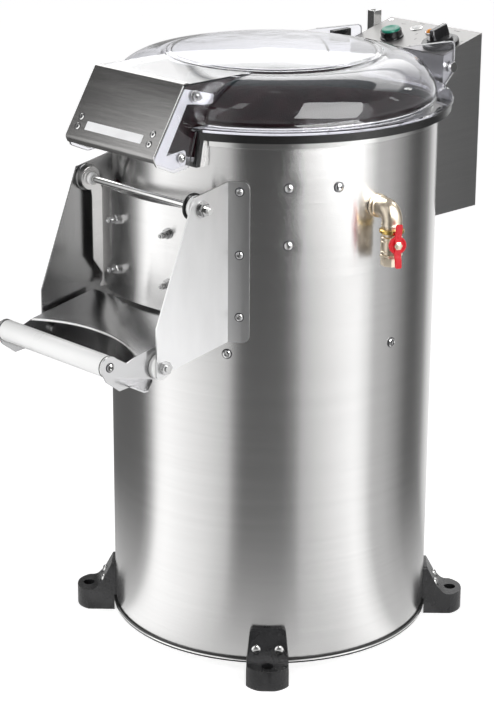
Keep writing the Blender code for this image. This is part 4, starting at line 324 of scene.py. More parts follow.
def brushed(
    name, colour, roughness, grain=(4, 4, 1), anisotropic=0.0, depth=0.000003, metallic=1.0, spread=0.03
):
    """Brushed steel whose grain runs along the axis with the smallest grain number.

    An anisotropic sheet has its grain level, so its gloss is drawn out upright."""
    graph = Graph(name, colour, roughness, metallic, Anisotropic=anisotropic)
    fine = graph.noise(FINE_GRAIN, grain, 4.0, 0.6)
    coarse = graph.noise(COARSE_GRAIN, grain)
    both = graph.maths("ADD", fine, coarse)
    graph.tinted(graph.ranged(both, 0.0, 1.0, 0.6, 1.4), colour, spread)
    graph.join(graph.ranged(coarse, roughness * 0.95, roughness * 1.05), "Roughness")
    graph.join(graph.bump(fine, depth), "Normal")
    if anisotropic:
        ends = {"vector_type": "VECTOR", "convert_from": "OBJECT", "convert_to": "WORLD"}
        upright = graph.add("ShaderNodeVectorTransform", {0: (0, 0, 1)}, **ends)
        graph.join(upright.outputs[0], "Tangent")
    return graph.made


def moulded(name, colour, roughness, grain=1400.0, depth=0.00003, spread=0.08, **values):
    """Moulded plastic or rubber with a fine surface grain and slight colour change."""
    graph = Graph(name, colour, roughness, 0.0, **values)
    fine = graph.noise(grain, rough=0.6)
    broad = graph.noise(BROAD_GRAIN)
    graph.tinted(graph.ranged(broad, 0, 1), colour, spread)
    graph.join(graph.ranged(broad, roughness * 0.85, roughness * 1.15), "Roughness")
    graph.join(graph.bump(fine, depth), "Normal")
    return graph.made


def satin_plate_painted_shade(name):
    """Satin sheet, with painted shade making it paler low at the front, and a painted shine on its bent
    strip on the drum.
    """
    graph = Graph(name, (0.75, 0.75, 0.755), 0.32, 1.0)
    fine = graph.noise(FINE_GRAIN, UPRIGHT, 4.0, 0.6)
    coarse = graph.noise(SATIN_GRAIN, (1, 1, 0.3))
    parts = graph.add("ShaderNodeSeparateXYZ", {0: graph.spot})
    faces = graph.add("ShaderNodeSeparateXYZ", {0: graph.coordinates.outputs["Normal"]})
    # Painted shade: the colour darkens with height and with distance back, mottled a little
    climb = graph.maths("ADD", parts.outputs[1], parts.outputs[2])
    shade_and_mottle = graph.maths("MULTIPLY_ADD", coarse, 0.07, climb)
    rise = graph.ranged(shade_and_mottle, 0.0, 1.0, 0.24, 0.50)
    graph.join(graph.shaded(rise, (0.88, 0.88, 0.885), (0.50, 0.50, 0.50)), "Base Color")
    # Painted shine: flat faces turned across X get less metal share than the bent strip
    sideways = graph.maths("ABSOLUTE", faces.outputs[0])
    graph.join(graph.ranged(sideways, 1.0, 0.45, 0.75, 0.95), "Metallic")
    graph.join(graph.bump(fine, 0.000003), "Normal")
    return graph.made


def clear_plastic(name):
    """Clear moulded plastic with a slight waviness and a faint bloom."""
    values = {"Transmission_Weight": 1.0, "IOR": 1.45, "Sheen_Weight": 0.05, "Sheen_Roughness": 0.3}
    graph = Graph(name, (0.95, 0.95, 0.99), 0.03, 0.0, **values)
    graph.join(graph.bump(graph.noise(LID_WAVES), 0.0004), "Normal")
    return graph.made


ROUND = (0.02, 0.02, 1)
ACROSS = (0.02, 1, 1)
UPRIGHT = (1, 1, 0.03)
EVEN = (1, 1, 1)
STREAKED = (0.08, 1.6, 1.6)
STEEL = brushed("drum_steel", (0.69, 0.685, 0.68), 0.25, ROUND, 0.85, 0.0000012)
DOOR_STEEL = brushed("door_steel", (0.76, 0.755, 0.75), 0.22, ROUND, 0.85, 0.0000012)
SATIN = brushed("satin_steel", (0.62, 0.62, 0.615), 0.33, UPRIGHT)
PLATE_STEEL = satin_plate_painted_shade("outer_plate_painted_shade")
# A darker copy of the plate steel for the left side plate, seen from its inner side: painted shade
LEFT_PLATE_SHADE = brushed("left_plate_painted_shade", (0.42, 0.42, 0.42), 0.26, UPRIGHT)
TRAY_STEEL = brushed("tray_steel", (0.56, 0.56, 0.565), 0.22, (1, 0.04, 1))
HOOD_STEEL = brushed("hood_steel", (0.36, 0.355, 0.35), 0.25, STREAKED, depth=0.000010, spread=0.20)
# Near-white, mostly diffuse steel for the hood bracket: a painted reflection of the bright surroundings
BRACKET_PAINTED_REFLECTION = brushed("bracket_painted_reflection", (0.92, 0.92, 0.925), 0.34, ACROSS, metallic=0.35)
BOX_STEEL = brushed("box_steel", (0.50, 0.50, 0.50), 0.36, (1, 0.02, 1), depth=0.000006, spread=0.06)
PANEL_STEEL = brushed("panel_steel", (0.30, 0.295, 0.29), 0.42, ACROSS, metallic=0.75, spread=0.05)
RING_STEEL = brushed("ring_steel", (0.34, 0.34, 0.34), 0.30, EVEN)
BOLT_STEEL = brushed("bolt_steel", (0.60, 0.60, 0.60), 0.20, EVEN)
BRIGHT = brushed("bright_steel", (0.80, 0.80, 0.79), 0.14, EVEN)
CLEAR = clear_plastic("clear_lid")
RUBBER = moulded("black_rubber", (0.012, 0.012, 0.012), 0.24)
GLOSS_BLACK = moulded("black_plastic", (0.014, 0.014, 0.015), 0.2)
CAST_BLACK = moulded("foot_plastic", (0.018, 0.018, 0.019), 0.27, 300.0, 0.0007, 0.5)
WHITE = moulded("white_plastic", (0.86, 0.86, 0.855), 0.32, spread=0.01)
GREEN = moulded("green_plastic", (0.002, 0.26, 0.17), 0.3, spread=0.04)
AMBER = moulded("amber_lens", (0.85, 0.30, 0.02), 0.15)
RED = moulded("red_paint", (0.66, 0.010, 0.020), 0.28)
BRASS = brushed("brass", (0.86, 0.75, 0.60), 0.30, EVEN, depth=0.00001)
GRIT = moulded("abrasive", (0.036, 0.012, 0.016), 0.85, 700.0, 0.0012, 0.5, Specular_IOR_Level=0.1)
GREY = moulded("grey_paint", (0.16, 0.18, 0.20), 0.5)
# Dark teal copy of the drum steel for the drum's inner face: painted shade inside the drum
DRUM_INSIDE_SHADE = brushed("drum_inside_painted_shade", (0.050, 0.075, 0.085), 0.40, ROUND)
GOLD = brushed("gold_ring", (0.80, 0.56, 0.18), 0.22, EVEN)
# Near-black for printed marks, and for the painted shade round fasteners and the plug
INK_AND_SHADE = moulded("print_and_painted_shade", (0.03, 0.03, 0.035), 0.5)
LABEL_WHITE = moulded("label_face", (0.86, 0.86, 0.87), 0.45)

SKIN = {}
for material, nodes in (
    (STEEL, "drum_shell"),
    (SATIN, "base_plate chamber_floor door_liner"),
    (DOOR_STEEL, "outlet_door"),
    (LEFT_PLATE_SHADE, "outlet_side_plate_left"),
    (PLATE_STEEL, "outlet_side_plate_right"),
    (TRAY_STEEL, "discharge_tray"),
    (HOOD_STEEL, "hood_front_plate"),
    (BRACKET_PAINTED_REFLECTION, "hood_bracket"),
    (BOX_STEEL, "control_box"),
    (PANEL_STEEL, "control_panel"),
    (RING_STEEL, "rod_washer"),
    (BOLT_STEEL, "tray_pivot_bolt"),
    (BRIGHT, "disc_shaft door_rod lid_hinge_bolt lid_stop_bracket rod_nut top_rim"),
    (CLEAR, "lid_dome"),
    (RUBBER, "base_trim_ring drive_belt rim_gasket"),
    (GLOSS_BLACK, "contactor drain_spout lid_interlock_magnet"),
    (GLOSS_BLACK, "selector_base selector_knob start_button_bezel"),
    (CAST_BLACK, "foot"),
    (WHITE, "power_lamp rod_bush tray_grip tray_pivot_spacer"),
    (GREEN, "start_button"),
    (AMBER, "warning_lamp"),
    (RED, "valve_lever"),
    (BRASS, "inlet_elbow spray_nozzle valve_body valve_union_nut"),
    (GRIT, "abrasive_disc abrasive_liner"),
    (GREY, "bearing_housing disc_pulley motor"),
):
    SKIN.update(dict.fromkeys(nodes.split(), material))


def skin_of(node):
    """The material of the longest name in SKIN that starts the node's name."""
    return SKIN[max((name for name in SKIN if node.startswith(name)), key=len)]


# Clean-up of the carried-over solids

WELD = 1e-6
SOFT_ANGLE = math.radians(30)
BEVEL_ANGLE = math.radians(35)
FLAT_ANGLE = math.radians(0.5)


def smoothing(name, angle, merge):
    """A node group that merges loose corners and shades soft under an angle."""
    tree = bpy.data.node_groups.new(name, "GeometryNodeTree")
    for way in ("INPUT", "OUTPUT"):
        tree.interface.new_socket("Geometry", in_out=way, socket_type="NodeSocketGeometry")

    def step(kind, links=(), **settings):
        return new_node(tree, kind, links, **settings).outputs[0]

    flow = step("NodeGroupInput")
    if merge:
        flow = step("GeometryNodeRemoveAttribute", {"Geometry": flow, "Name": "custom_normal"})
        flow = step("GeometryNodeMergeByDistance", {"Geometry": flow, "Distance": WELD})
    flow = step("GeometryNodeSetShadeSmooth", {"Geometry": flow})
    bend = new_node(tree, "GeometryNodeInputMeshEdgeAngle").outputs["Unsigned Angle"]
    sharp = step("ShaderNodeMath", {0: bend, 1: angle}, operation="GREATER_THAN")
    links = {"Geometry": flow, "Selection": sharp, "Shade Smooth": False}
    flow = step("GeometryNodeSetShadeSmooth", links, domain="EDGE")
    new_node(tree, "NodeGroupOutput", {0: flow})
    return tree


MERGE = smoothing("merge_corners", SOFT_ANGLE, True)
SOFTEN = smoothing("soft_shading", SOFT_ANGLE, False)


def bevelled(obj, width):
    """Rounds an object's sharp edges."""
    bevel = obj.modifiers.new("edges", "BEVEL")
    bevel.width = width
    bevel.segments = 2
    bevel.limit_method = "ANGLE"
    bevel.angle_limit = BEVEL_ANGLE


def dress(node):
    """Gives a carried-over solid its material, soft edges and soft shading."""
    obj = NODES[node]
    obj.data.materials.clear()
    obj.data.materials.append(skin_of(node))
    merge = obj.modifiers.new("merge", "NODES")
    merge.node_group = MERGE
    flatten = obj.modifiers.new("flatten", "DECIMATE")
    flatten.decimate_type = "DISSOLVE"
    flatten.angle_limit = FLAT_ANGLE
    bevelled(obj, GAP)
    soften = obj.modifiers.new("soften", "NODES")
    soften.node_group = SOFTEN


# Shapes, in metres from the drum's axis and the floor


SIDEWAYS = Matrix(((0, 0, 1), (1, 0, 0), (0, 1, 0))).to_4x4()
OVERRUN = 0.02
CUT_REACH = (-0.25, -0.10)
CUT_SPAN = (0.60, 0.70)


def lathe(profile, steps=48):
    """Turns an outline of (radius, height) about Z; one that is off the axis makes a ring."""
    shape = bmesh.new()
    rows = []
    for radius, height in profile:
        angles = [math.tau * i / steps for i in range(steps if radius > 0 else 1)]
        rows.append([shape.verts.new((radius * math.cos(a), radius * math.sin(a), height)) for a in angles])
    if profile[0][0] > 0:
        rows.append(rows[0])
    for upper, lower in zip(rows, rows[1:]):
        for i in range(steps):
            ends = ((upper, i), (upper, i + 1), (lower, i + 1), (lower, i))
            corners = list(dict.fromkeys(row[k % len(row)] for row, k in ends))
            if len(corners) > 2:
                shape.faces.new(corners)
    bmesh.ops.recalc_face_normals(shape, faces=shape.faces)
    return shape


def tube(radius, low, high, bore=0.0, steps=32):
    """A round bar between two heights, or a ring where it has a bore."""
    return lathe([(bore, low), (radius, low), (radius, high), (bore, high)], steps)


def washer(radius, height, bore=0.0, steps=32):
    """A round plate on z = 0, or a ring where it has a bore."""
    return tube(radius, 0, height, bore, steps)


def lofted(loops):
    """A solid through loops of equally many points, closed by a face at each end."""
    shape = bmesh.new()
    rows = [[shape.verts.new(point) for point in loop] for loop in loops]
    count = len(rows[0])
    for lower, upper in zip(rows, rows[1:]):
        for i in range(count):
            j = (i + 1) % count
            shape.faces.new((lower[i], lower[j], upper[j], upper[i]))
    shape.faces.new(rows[0])
    shape.faces.new(rows[-1])
    bmesh.ops.recalc_face_normals(shape, faces=shape.faces)
    return shape


def prism(outline, low, high):
    """An outline of (u, v) points made solid between two levels of w."""
    return lofted([[(u, v, w) for u, v in outline] for w in (low, high)])


def slab(low, high):
    (x, y, low_z), (far_x, far_y, high_z) = low, high
    return prism([(x, y), (far_x, y), (far_x, far_y), (x, far_y)], low_z, high_z)


def front_slot(half, low=CUT_SPAN[0], high=CUT_SPAN[1]):
    """A block that cuts an opening into the front, between two heights."""
    near, far = CUT_REACH
    return slab((-half, near, low), (half, far, high))


def placed(shape, *moves):
    for move in moves:
        shape.transform(move)
    return shape


def facing(place, out):
    """The move that seats a shape at a place, with its Z pointing out."""
    turn = Vector(out).to_track_quat("Z", "Y").to_matrix().to_4x4()
    return Matrix.Translation(place) @ turn


def across(x, place, hand):
    """The move that seats a shape on a side wall at x, pointing along +X or -X."""
    return facing((x, *place), (hand, 0, 0))


def spun(degrees):
    """A turn about Z."""
    return Matrix.Rotation(math.radians(degrees), 4, "Z")


def raised(seat, height):
    """A seat moved out along its own Z."""
    return seat @ Matrix.Translation((0, 0, height))


def on_wall(azimuth, reach, height):
    """The move that seats a shape on the round wall."""
    return facing(radial(azimuth, reach, height), radial(azimuth, 1))


def arc(centre, radius, start, end, steps):
    angles = [math.radians(start + (end - start) * i / steps) for i in range(steps + 1)]
    return [(centre[0] + radius * math.cos(a), centre[1] + radius * math.sin(a)) for a in angles]


def rounded(corners, steps=6):
    """An outline whose corners (u, v, radius) are rounded where the radius isn't zero."""
    outline = []
    for i, (u, v, radius) in enumerate(corners):
        here = Vector((u, v))
        if not radius:
            outline.append((u, v))
            continue
        before = (Vector(corners[i - 1][:2]) - here).normalized()
        after = (Vector(corners[(i + 1) % len(corners)][:2]) - here).normalized()
        half = before.angle(after) / 2
        start = here + before * radius / math.tan(half)
        end = here + after * radius / math.tan(half)
        centre = here + (before + after).normalized() * radius / math.sin(half)
        for k in range(steps + 1):
            spoke = (start - centre).slerp(end - centre, k / steps).normalized()
            outline.append(tuple(centre + spoke * radius))
    return outline


def plaque(wide, long, radius, steps):
    """The outline of a rectangle with round corners, from half its sizes."""
    corners = ((-wide, -long), (wide, -long), (wide, long), (-wide, long))
    return rounded([(*corner, radius) for corner in corners], steps)


def bent_bar(stations, steps=40):
    """A round bar in the YZ plane through stations of (y, z, radius)."""
    loops = []
    side = Vector((1, 0, 0))
    turns = [math.tau * k / steps for k in range(steps)]
    for i, (y, z, radius) in enumerate(stations):
        before = stations[max(i - 1, 0)]
        after = stations[min(i + 1, len(stations) - 1)]
        above = side.cross(Vector((0, after[0] - before[0], after[1] - before[1])).normalized())
        spokes = [(side * math.cos(a) + above * math.sin(a)) * radius for a in turns]
        loops.append([Vector((0, y, z)) + spoke for spoke in spokes])
    return lofted(loops)


def mesh_of(name, shape):
    """A mesh made from a shape, which is used up."""
    mesh = bpy.data.meshes.new(name)
    shape.to_mesh(mesh)
    shape.free()
    return mesh


def group(*shapes):
    """Several shapes as the separate bodies of one."""
    whole = bmesh.new()
    for shape in shapes:
        mesh = mesh_of("loose", shape)
        whole.from_mesh(mesh)
        bpy.data.meshes.remove(mesh)
    return whole


def baked(obj):
    """A mesh of an object with its modifiers applied."""
    bpy.context.view_layer.update()
    graph = bpy.context.evaluated_depsgraph_get()
    return bpy.data.meshes.new_from_object(obj.evaluated_get(graph))


def combined(shape, others, operation):
    """A shape joined with others, or cut by them."""
    made = [linked("working", mesh_of("working", part)) for part in (shape, *others)]
    for other in made[1:]:
        step = made[0].modifiers.new("step", "BOOLEAN")
        step.operation = operation
        step.object = other
    mesh = baked(made[0])
    done = bmesh.new()
    done.from_mesh(mesh)
    bpy.data.meshes.remove(mesh)
    for obj in made:
        old = obj.data
        bpy.data.objects.remove(obj)
        bpy.data.meshes.remove(old)
    return done


def piece(name, shape, materials, body, slot, replaces=(), edge=0.0, sharp=35):
    """Makes a shape a piece of the scene, riding on a body."""
    bmesh.ops.remove_doubles(shape, verts=shape.verts, dist=WELD)
    mesh = mesh_of(name, shape)
    for material in materials if isinstance(materials, tuple) else (materials,):
        mesh.materials.append(material)
    mesh.shade_smooth()
    mesh.set_sharp_from_angle(angle=math.radians(sharp))
    made = linked(name, mesh)
    made.location = ORIGIN
    if edge:
        bevelled(made, edge)
    bpy.context.view_layer.update()
    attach(made, body)
    if replaces:
        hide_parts(*replaces)
    return made


def stand_in(name, shape, materials, body, node, **edges):
    """A piece that takes the place of a carried-over solid."""
    return piece(name, shape, materials, body, node, (node,), **edges)


# Fasteners, seated on z = 0 and pointing up

SHADE_RIM = 0.0009
WASHER_HEIGHT = 0.0009
ON_WASHER = 0.0008


def bulge(radius, base, rise, degrees):
    """A dome's line of (radius, height), at some degrees above its foot."""
    angles = [math.radians(d) for d in degrees]
    return [(radius * math.cos(a), base + rise * math.sin(a)) for a in angles]


def button_head(radius, height, socket=0.42):
    """A domed screw head with a socket."""
    bore, bed = radius * socket, height * 0.4
    dome = bulge(radius, height * 0.3, height * 0.7, (0, 20, 40, 55, 66))
    dome = [(r, z) for r, z in dome if r > bore]
    return lathe([(0, 0), (radius, 0), *dome, (bore, height), (bore, bed), (0, bed)], 24)


def shade_ring(radius):
    """A dark ring a little wider than a fastener's head: painted shade round its edge."""
    return washer(radius + SHADE_RIM, GAP)


def screwed(heads, shade_rings, seat, radius, height):
    """Adds a screw's head and its ring of painted shade at a seat."""
    shade_rings.append(placed(shade_ring(radius), seat))
    heads.append(placed(button_head(radius, height), seat))


def hex_nut(radius, height):
    """A nut with chamfered corners."""
    line = [(0, 0), (radius, 0), (radius, height * 0.84), (radius * 0.9, height), (0, height)]
    return lathe(line, 6)


def acorn_nut(radius, height, dome):
    """A nut with a closed round cap on it."""
    cap, base = radius * 0.7, height * 0.5
    line = bulge(cap, height, dome, (0, 20, 40, 60, 76))
    return group(hex_nut(radius, height), lathe([(0, base), (cap, base), *line, (0, height + dome)], 24))


def countersunk(radius, recess=0.42):
    """A flat screw head with a slightly dished rim and a recess."""
    rise, bore = radius * 0.16, radius * recess
    line = [(0, 0), (radius, 0), (radius, rise * 0.4), (radius * 0.8, rise), (bore, rise * 0.8)]
    return lathe([*line, (bore, 0.0002), (0, 0.0002)], 24)


def disc(radius, height):
    """A round disc on a rod, with a chamfer at both of its edges."""
    rim = radius - RING_CHAMFER
    line = [(ROD_BORE, 0), (rim, 0), (radius, RING_CHAMFER), (radius, height - RING_CHAMFER)]
    return lathe([*line, (rim, height), (ROD_BORE, height)], 64)


# Clear lid

LID_LOW = 0.6753
LID_WALL = 0.003
FLANGE_RADIUS = 0.218
FLANGE_THICKNESS = 0.004
DOME_FOOT = 0.197
DOME_SIDE = 0.6853
SHOULDER = (0.137, 0.7285)
CROWN = ((0.1325, 0.7302), (0.1316, 0.7312), (0.1276, 0.7318), (0.1266, 0.7325), (0.1245, 0.7328))
CROWN_TOP = 0.735
HOOD_SIDE = 0.0757
HOOD_BROW = (-0.2155, 0.730)
HOOD_LIP = (-0.2625, 0.654)
HOOD_CHIN = (-0.2568, 0.6423)
HOOD_KEEL = (-0.2315, 0.6315)
HOOD_HEEL = (-0.2085, 0.6335)
HINGE = (0.232, 0.691)
HINGE_BORE = 0.003
LUG_SPAN = (0.0783, 0.0815)
LUG_ROOT = 0.022
LUG_BEHIND = 0.0045
LUG_FOOT = 0.020
LUG_CORNERS = ((0.0066, 0.0320, 0.007), (0.0066, -0.007, 0.007), (-0.0115, -0.024, 0.0035))
THROAT_REACH = 0.29
LID_STEPS = 128
EDGE_HIGHLIGHT = 0.0005
EDGE_START = 0.156
EDGE_DROP = 0.0012


def dome_line(wall):
    """The dome's line from its foot to its crown, moved in by wall."""
    wide, tall = DOME_FOOT - SHOULDER[0], SHOULDER[1] - DOME_SIDE
    line = []
    for i in range(19):
        angle = math.radians(90 * i / 18)
        radius = SHOULDER[0] - wall + wide * math.cos(angle)
        line.append((radius, DOME_SIDE + (tall - wall) * math.sin(angle)))
    line += [(radius - wall, height - wall) for radius, height in CROWN]
    return [*line, (0, CROWN_TOP - wall)]


def edge_highlight(outline, x):
    """A thin white bar along the cut edge of a clear sheet: a painted highlight."""
    bar = bent_bar([(y, z, EDGE_HIGHLIGHT) for y, z in outline], 8)
    return placed(bar, Matrix.Translation((x, 0, 0)))


def clear_lid():
    """The clear dome with its flange, hood and hinge lugs, as one moulding."""
    low, high = LID_LOW, LID_LOW + FLANGE_THICKNESS
    flange = [(0, low), (FLANGE_RADIUS - 0.001, low), (FLANGE_RADIUS, low + 0.001)]
    flange += [(FLANGE_RADIUS, high - 0.001), (FLANGE_RADIUS - 0.001, high), (DOME_FOOT + 0.0025, high)]
    flange += [(DOME_FOOT + 0.0008, high + 0.0006), (DOME_FOOT, high + 0.002)]
    dome = lathe([*flange, *dome_line(0)], LID_STEPS)
    inside = -SHOULDER[0] / 2
    corners = [(inside, HOOD_BROW[1], 0), (*HOOD_BROW, 0.003), (*HOOD_LIP, 0), (*HOOD_CHIN, 0.006)]
    corners += [(*HOOD_KEEL, 0.006), (*HOOD_HEEL, 0.003)]
    corners += [(-DRUM_RADIUS + 0.00425, low, 0), (inside, low, 0)]
    hood = rounded(corners, 8)
    box = placed(prism(hood, -HOOD_SIDE, HOOD_SIDE), SIDEWAYS)
    whole = combined(dome, [box], "UNION")
    below = low - OVERRUN
    foot = DOME_FOOT - LID_WALL
    bowl = [(0, below), (foot, below), *dome_line(LID_WALL)]
    half, throat_top = HOOD_SIDE - LID_WALL, HOOD_BROW[1] - LID_WALL
    throat = slab((-half, -THROAT_REACH, CUT_SPAN[0]), (half, -DRUM_RADIUS / 2, throat_top))
    whole = combined(whole, [lathe(bowl, LID_STEPS), throat], "DIFFERENCE")

    root, behind = SHOULDER[0] - LUG_ROOT, DRUM_RADIUS + LUG_BEHIND
    y, z = HINGE
    corners = [(root, SHOULDER[1] - 0.001, 0)]
    corners += [(y + out, z + up, radius) for out, up, radius in LUG_CORNERS]
    lug = rounded([*corners, (behind, z - LUG_FOOT, 0), (behind, low, 0), (root, low, 0)], 8)
    wings = []
    for hand in (-1, 1):
        wing = placed(prism(lug, *sorted(hand * x for x in LUG_SPAN)), SIDEWAYS)
        bore = tube(HINGE_BORE, -OVERRUN / 2, OVERRUN, steps=24)
        placed(bore, across(hand * LUG_SPAN[0], HINGE, hand))
        wings.append(combined(wing, [lathe(bowl, LID_STEPS), bore], "DIFFERENCE"))
    whole = combined(whole, wings, "UNION")
    stand_in("clear_lid", whole, CLEAR, "lid", "lid_dome", edge=0.0007, sharp=30)

    # White bars along the cut edges of the lugs and the hood: painted highlights
    outline = [(EDGE_START, SHOULDER[1] - EDGE_DROP), *lug[1:-2]]
    outline = [(y - EDGE_HIGHLIGHT, z - EDGE_HIGHLIGHT) for y, z in outline]
    edges = []
    for hand in (-1, 1):
        for x in (LUG_SPAN[0] + EDGE_HIGHLIGHT, LUG_SPAN[1] - EDGE_HIGHLIGHT):
            edges.append(edge_highlight(outline, hand * x))
        edges.append(edge_highlight(hood[9:-2], hand * HOOD_SIDE))
    piece("lid_edge_highlights", group(*edges), WHITE, "lid", "lid_dome")


# Drum's skin

DRUM_LOW, DRUM_HIGH = shell_low.z, shell_high.z
DRUM_SHEET = 0.0015
OUTLET_HALF = 0.0865
OUTLET_SPAN = (0.4535, 0.588)
MOUTH_HALF = 0.072
MOUTH_SILL = 0.640
FLANGE_AZIMUTH = 34.6
FLANGE_BOLT_LEVELS = (0.6057, 0.531, 0.4562)
DIMPLE_DEPTH = 0.0005
DIMPLE_WIDTH = 0.010
DRUM_BOLTS = ((50.6, 0.6105), (50.6, 0.543), (67.5, 0.609))
LOW_BOLT = (30.3, 0.4097)
PLUG = (90.7, 0.408)
PLUG_SHADE_RING = (0.0060, 0.0008)
PLUG_SHADE_CORE = (0.0036, 0.0019)
PLUG_TURN = 65
DRUM_SCREW = (0.0052, 0.0036)
FLANGE_SCREW = (0.0046, 0.0032)
FLANGE_FACE = 0.0023
BORES = (
    ("inlet", INLET_AZIMUTH, INLET_HEIGHT, INLET_BORE),
    ("drain", 180, 0.350, 0.0183),
)


def drum_skin():
    """The drum's sheet, drawn in a little round each bolt, with its openings cut."""
    outlet_edge, mouth_edge = (
        math.degrees(math.asin(half / DRUM_RADIUS)) for half in (OUTLET_HALF, MOUTH_HALF)
    )
    columns = {float(a) for a in range(-180, 180, 2)} | {float(a) for a in range(23, 79)}
    columns |= {-outlet_edge, -mouth_edge, mouth_edge, outlet_edge}
    columns = sorted(columns)
    rows = {DRUM_LOW, DRUM_HIGH, *OUTLET_SPAN, MOUTH_SILL, 0.12, 0.22, 0.32}
    rows |= {0.50 + 0.005 * i for i in range(29)}
    rows = sorted(rows)

    def radius_at(azimuth, height):
        depth = 0
        for bolt, level in DRUM_BOLTS:
            gap = math.hypot(math.radians(azimuth - bolt) * DRUM_RADIUS, height - level)
            depth += DIMPLE_DEPTH * math.exp(-((gap / DIMPLE_WIDTH) ** 2))
        return DRUM_RADIUS - depth

    def is_open(azimuth, height):
        at_outlet = abs(azimuth) < outlet_edge and OUTLET_SPAN[0] < height < OUTLET_SPAN[1]
        return at_outlet or abs(azimuth) < mouth_edge and height > MOUTH_SILL

    sheet = bmesh.new()
    grid = [[sheet.verts.new(radial(a, radius_at(a, z), z)) for z in rows] for a in columns]
    for i, azimuth in enumerate(columns):
        j = (i + 1) % len(columns)
        half_step = ((columns[j] - azimuth) % 360) / 2
        for k in range(len(rows) - 1):
            if not is_open(azimuth + half_step, (rows[k] + rows[k + 1]) / 2):
                sheet.faces.new((grid[i][k], grid[j][k], grid[j][k + 1], grid[i][k + 1]))
    loose = [v for v in sheet.verts if not v.link_faces]
    bmesh.ops.delete(sheet, geom=loose, context="VERTS")
    skin = stand_in("drum_skin", sheet, (STEEL, DRUM_INSIDE_SHADE), "frame", "drum_shell")
    wall = skin.modifiers.new("wall", "SOLIDIFY")
    wall.thickness = DRUM_SHEET
    wall.offset = -1
    # The inner face takes the second material, the dark teal painted shade
    wall.material_offset = 1
    for name, azimuth, height, radius in BORES:
        drill = placed(tube(radius, -OVERRUN, OVERRUN), on_wall(azimuth, DRUM_RADIUS, height))
        tool = linked(name, mesh_of(name, drill))
        tool.location = ORIGIN
        bore = skin.modifiers.new(name, "BOOLEAN")
        bore.operation = "DIFFERENCE"
        bore.object = tool
        cut_mesh = baked(skin)
        skin.modifiers.clear()
        skin.data = cut_mesh
        bpy.data.objects.remove(tool)
    skin.data.set_sharp_from_angle(angle=BEVEL_ANGLE)


def drum_fasteners():
    """The bolts that hold the parts inside the drum, each on a dark ring of painted shade."""
    heads, shade_rings = [], []
    for azimuth, height in (*DRUM_BOLTS, LOW_BOLT):
        seat = on_wall(azimuth, DRUM_RADIUS - DIMPLE_DEPTH, height)
        screwed(heads, shade_rings, raised(seat, ON_WASHER), *DRUM_SCREW)
    for hand in (-1, 1):
        for height in FLANGE_BOLT_LEVELS:
            seat = on_wall(hand * FLANGE_AZIMUTH, DRUM_RADIUS + FLANGE_FACE, height)
            screwed(heads, shade_rings, seat, *FLANGE_SCREW)
    piece("drum_bolts", group(*heads), BOLT_STEEL, "frame", "door_rod")
    # Dark rings of painted shade round the bolt heads
    piece("drum_bolt_shade_rings", group(*shade_rings), INK_AND_SHADE, "frame", "rim_gasket")

    seat = on_wall(PLUG[0], DRUM_RADIUS, PLUG[1])
    # A dark ring round the plug and a dark disc in its hollow: painted shade
    rubber = group(washer(*PLUG_SHADE_RING, steps=40), washer(*PLUG_SHADE_CORE))
    piece("drum_plug_shade", placed(rubber, seat), INK_AND_SHADE, "frame", "rim_gasket")
    rim = [(0.0034, 0), (0.0053, 0), (0.0053, 0.0014), (0.0047, 0.0022), (0.0038, 0.0022), (0.0034, 0.0014)]
    slot = slab((-0.0026, -0.0007, 0.0006), (0.0026, 0.0007, 0.0024))
    placed(slot, spun(PLUG_TURN))
    piece("drum_plug", placed(group(lathe(rim, 40), slot), seat), BRIGHT, "frame", "door_rod")


# Peeling chamber's abrasive

COAT_INNER = 0.1952
COAT_OUTER = 0.1981
COAT_LOW = 0.4075
COAT_TOP = 0.660
COAT_FRONT_TOP = 0.6335
COAT_FRONT_HALF = 0.084


def abrasive_coat():
    """The chamber's rough lining, lower below the mouth and open at the outlet."""
    cuts = [front_slot(COAT_FRONT_HALF, COAT_FRONT_TOP), front_slot(OUTLET_HALF, *OUTLET_SPAN)]
    seat = on_wall(INLET_AZIMUTH, DRUM_RADIUS, INLET_HEIGHT)
    cuts.append(placed(tube(INLET_BORE, -OVERRUN, OVERRUN), seat))
    coat = tube(COAT_OUTER, COAT_LOW, COAT_TOP, COAT_INNER, 144)
    whole = combined(coat, cuts, "DIFFERENCE")
    stand_in("abrasive_coat", whole, GRIT, "frame", "abrasive_liner")


# Rubber seal round the top and beside the mouth

SEAL_RING = (
    (0.2045, 0.6703), (0.2045, 0.6750), (0.2155, 0.6750), (0.2155, 0.6655),
    (0.2090, 0.6655), (0.2090, 0.6682), (0.2128, 0.6682), (0.2128, 0.6703),
)
SEAL_SPAN = (0.0760, 0.0820)
SEAL_FOOT = (-0.2028, 0.6340)
SEAL_HEAD = (-0.1948, 0.6750)
SEAL_DEPTH = 0.0055
SEAL_BACK = -0.16
SEAL_STEPS = 160
CHEEK_INSET = 0.0008
CHEEK_GAP = 0.0001


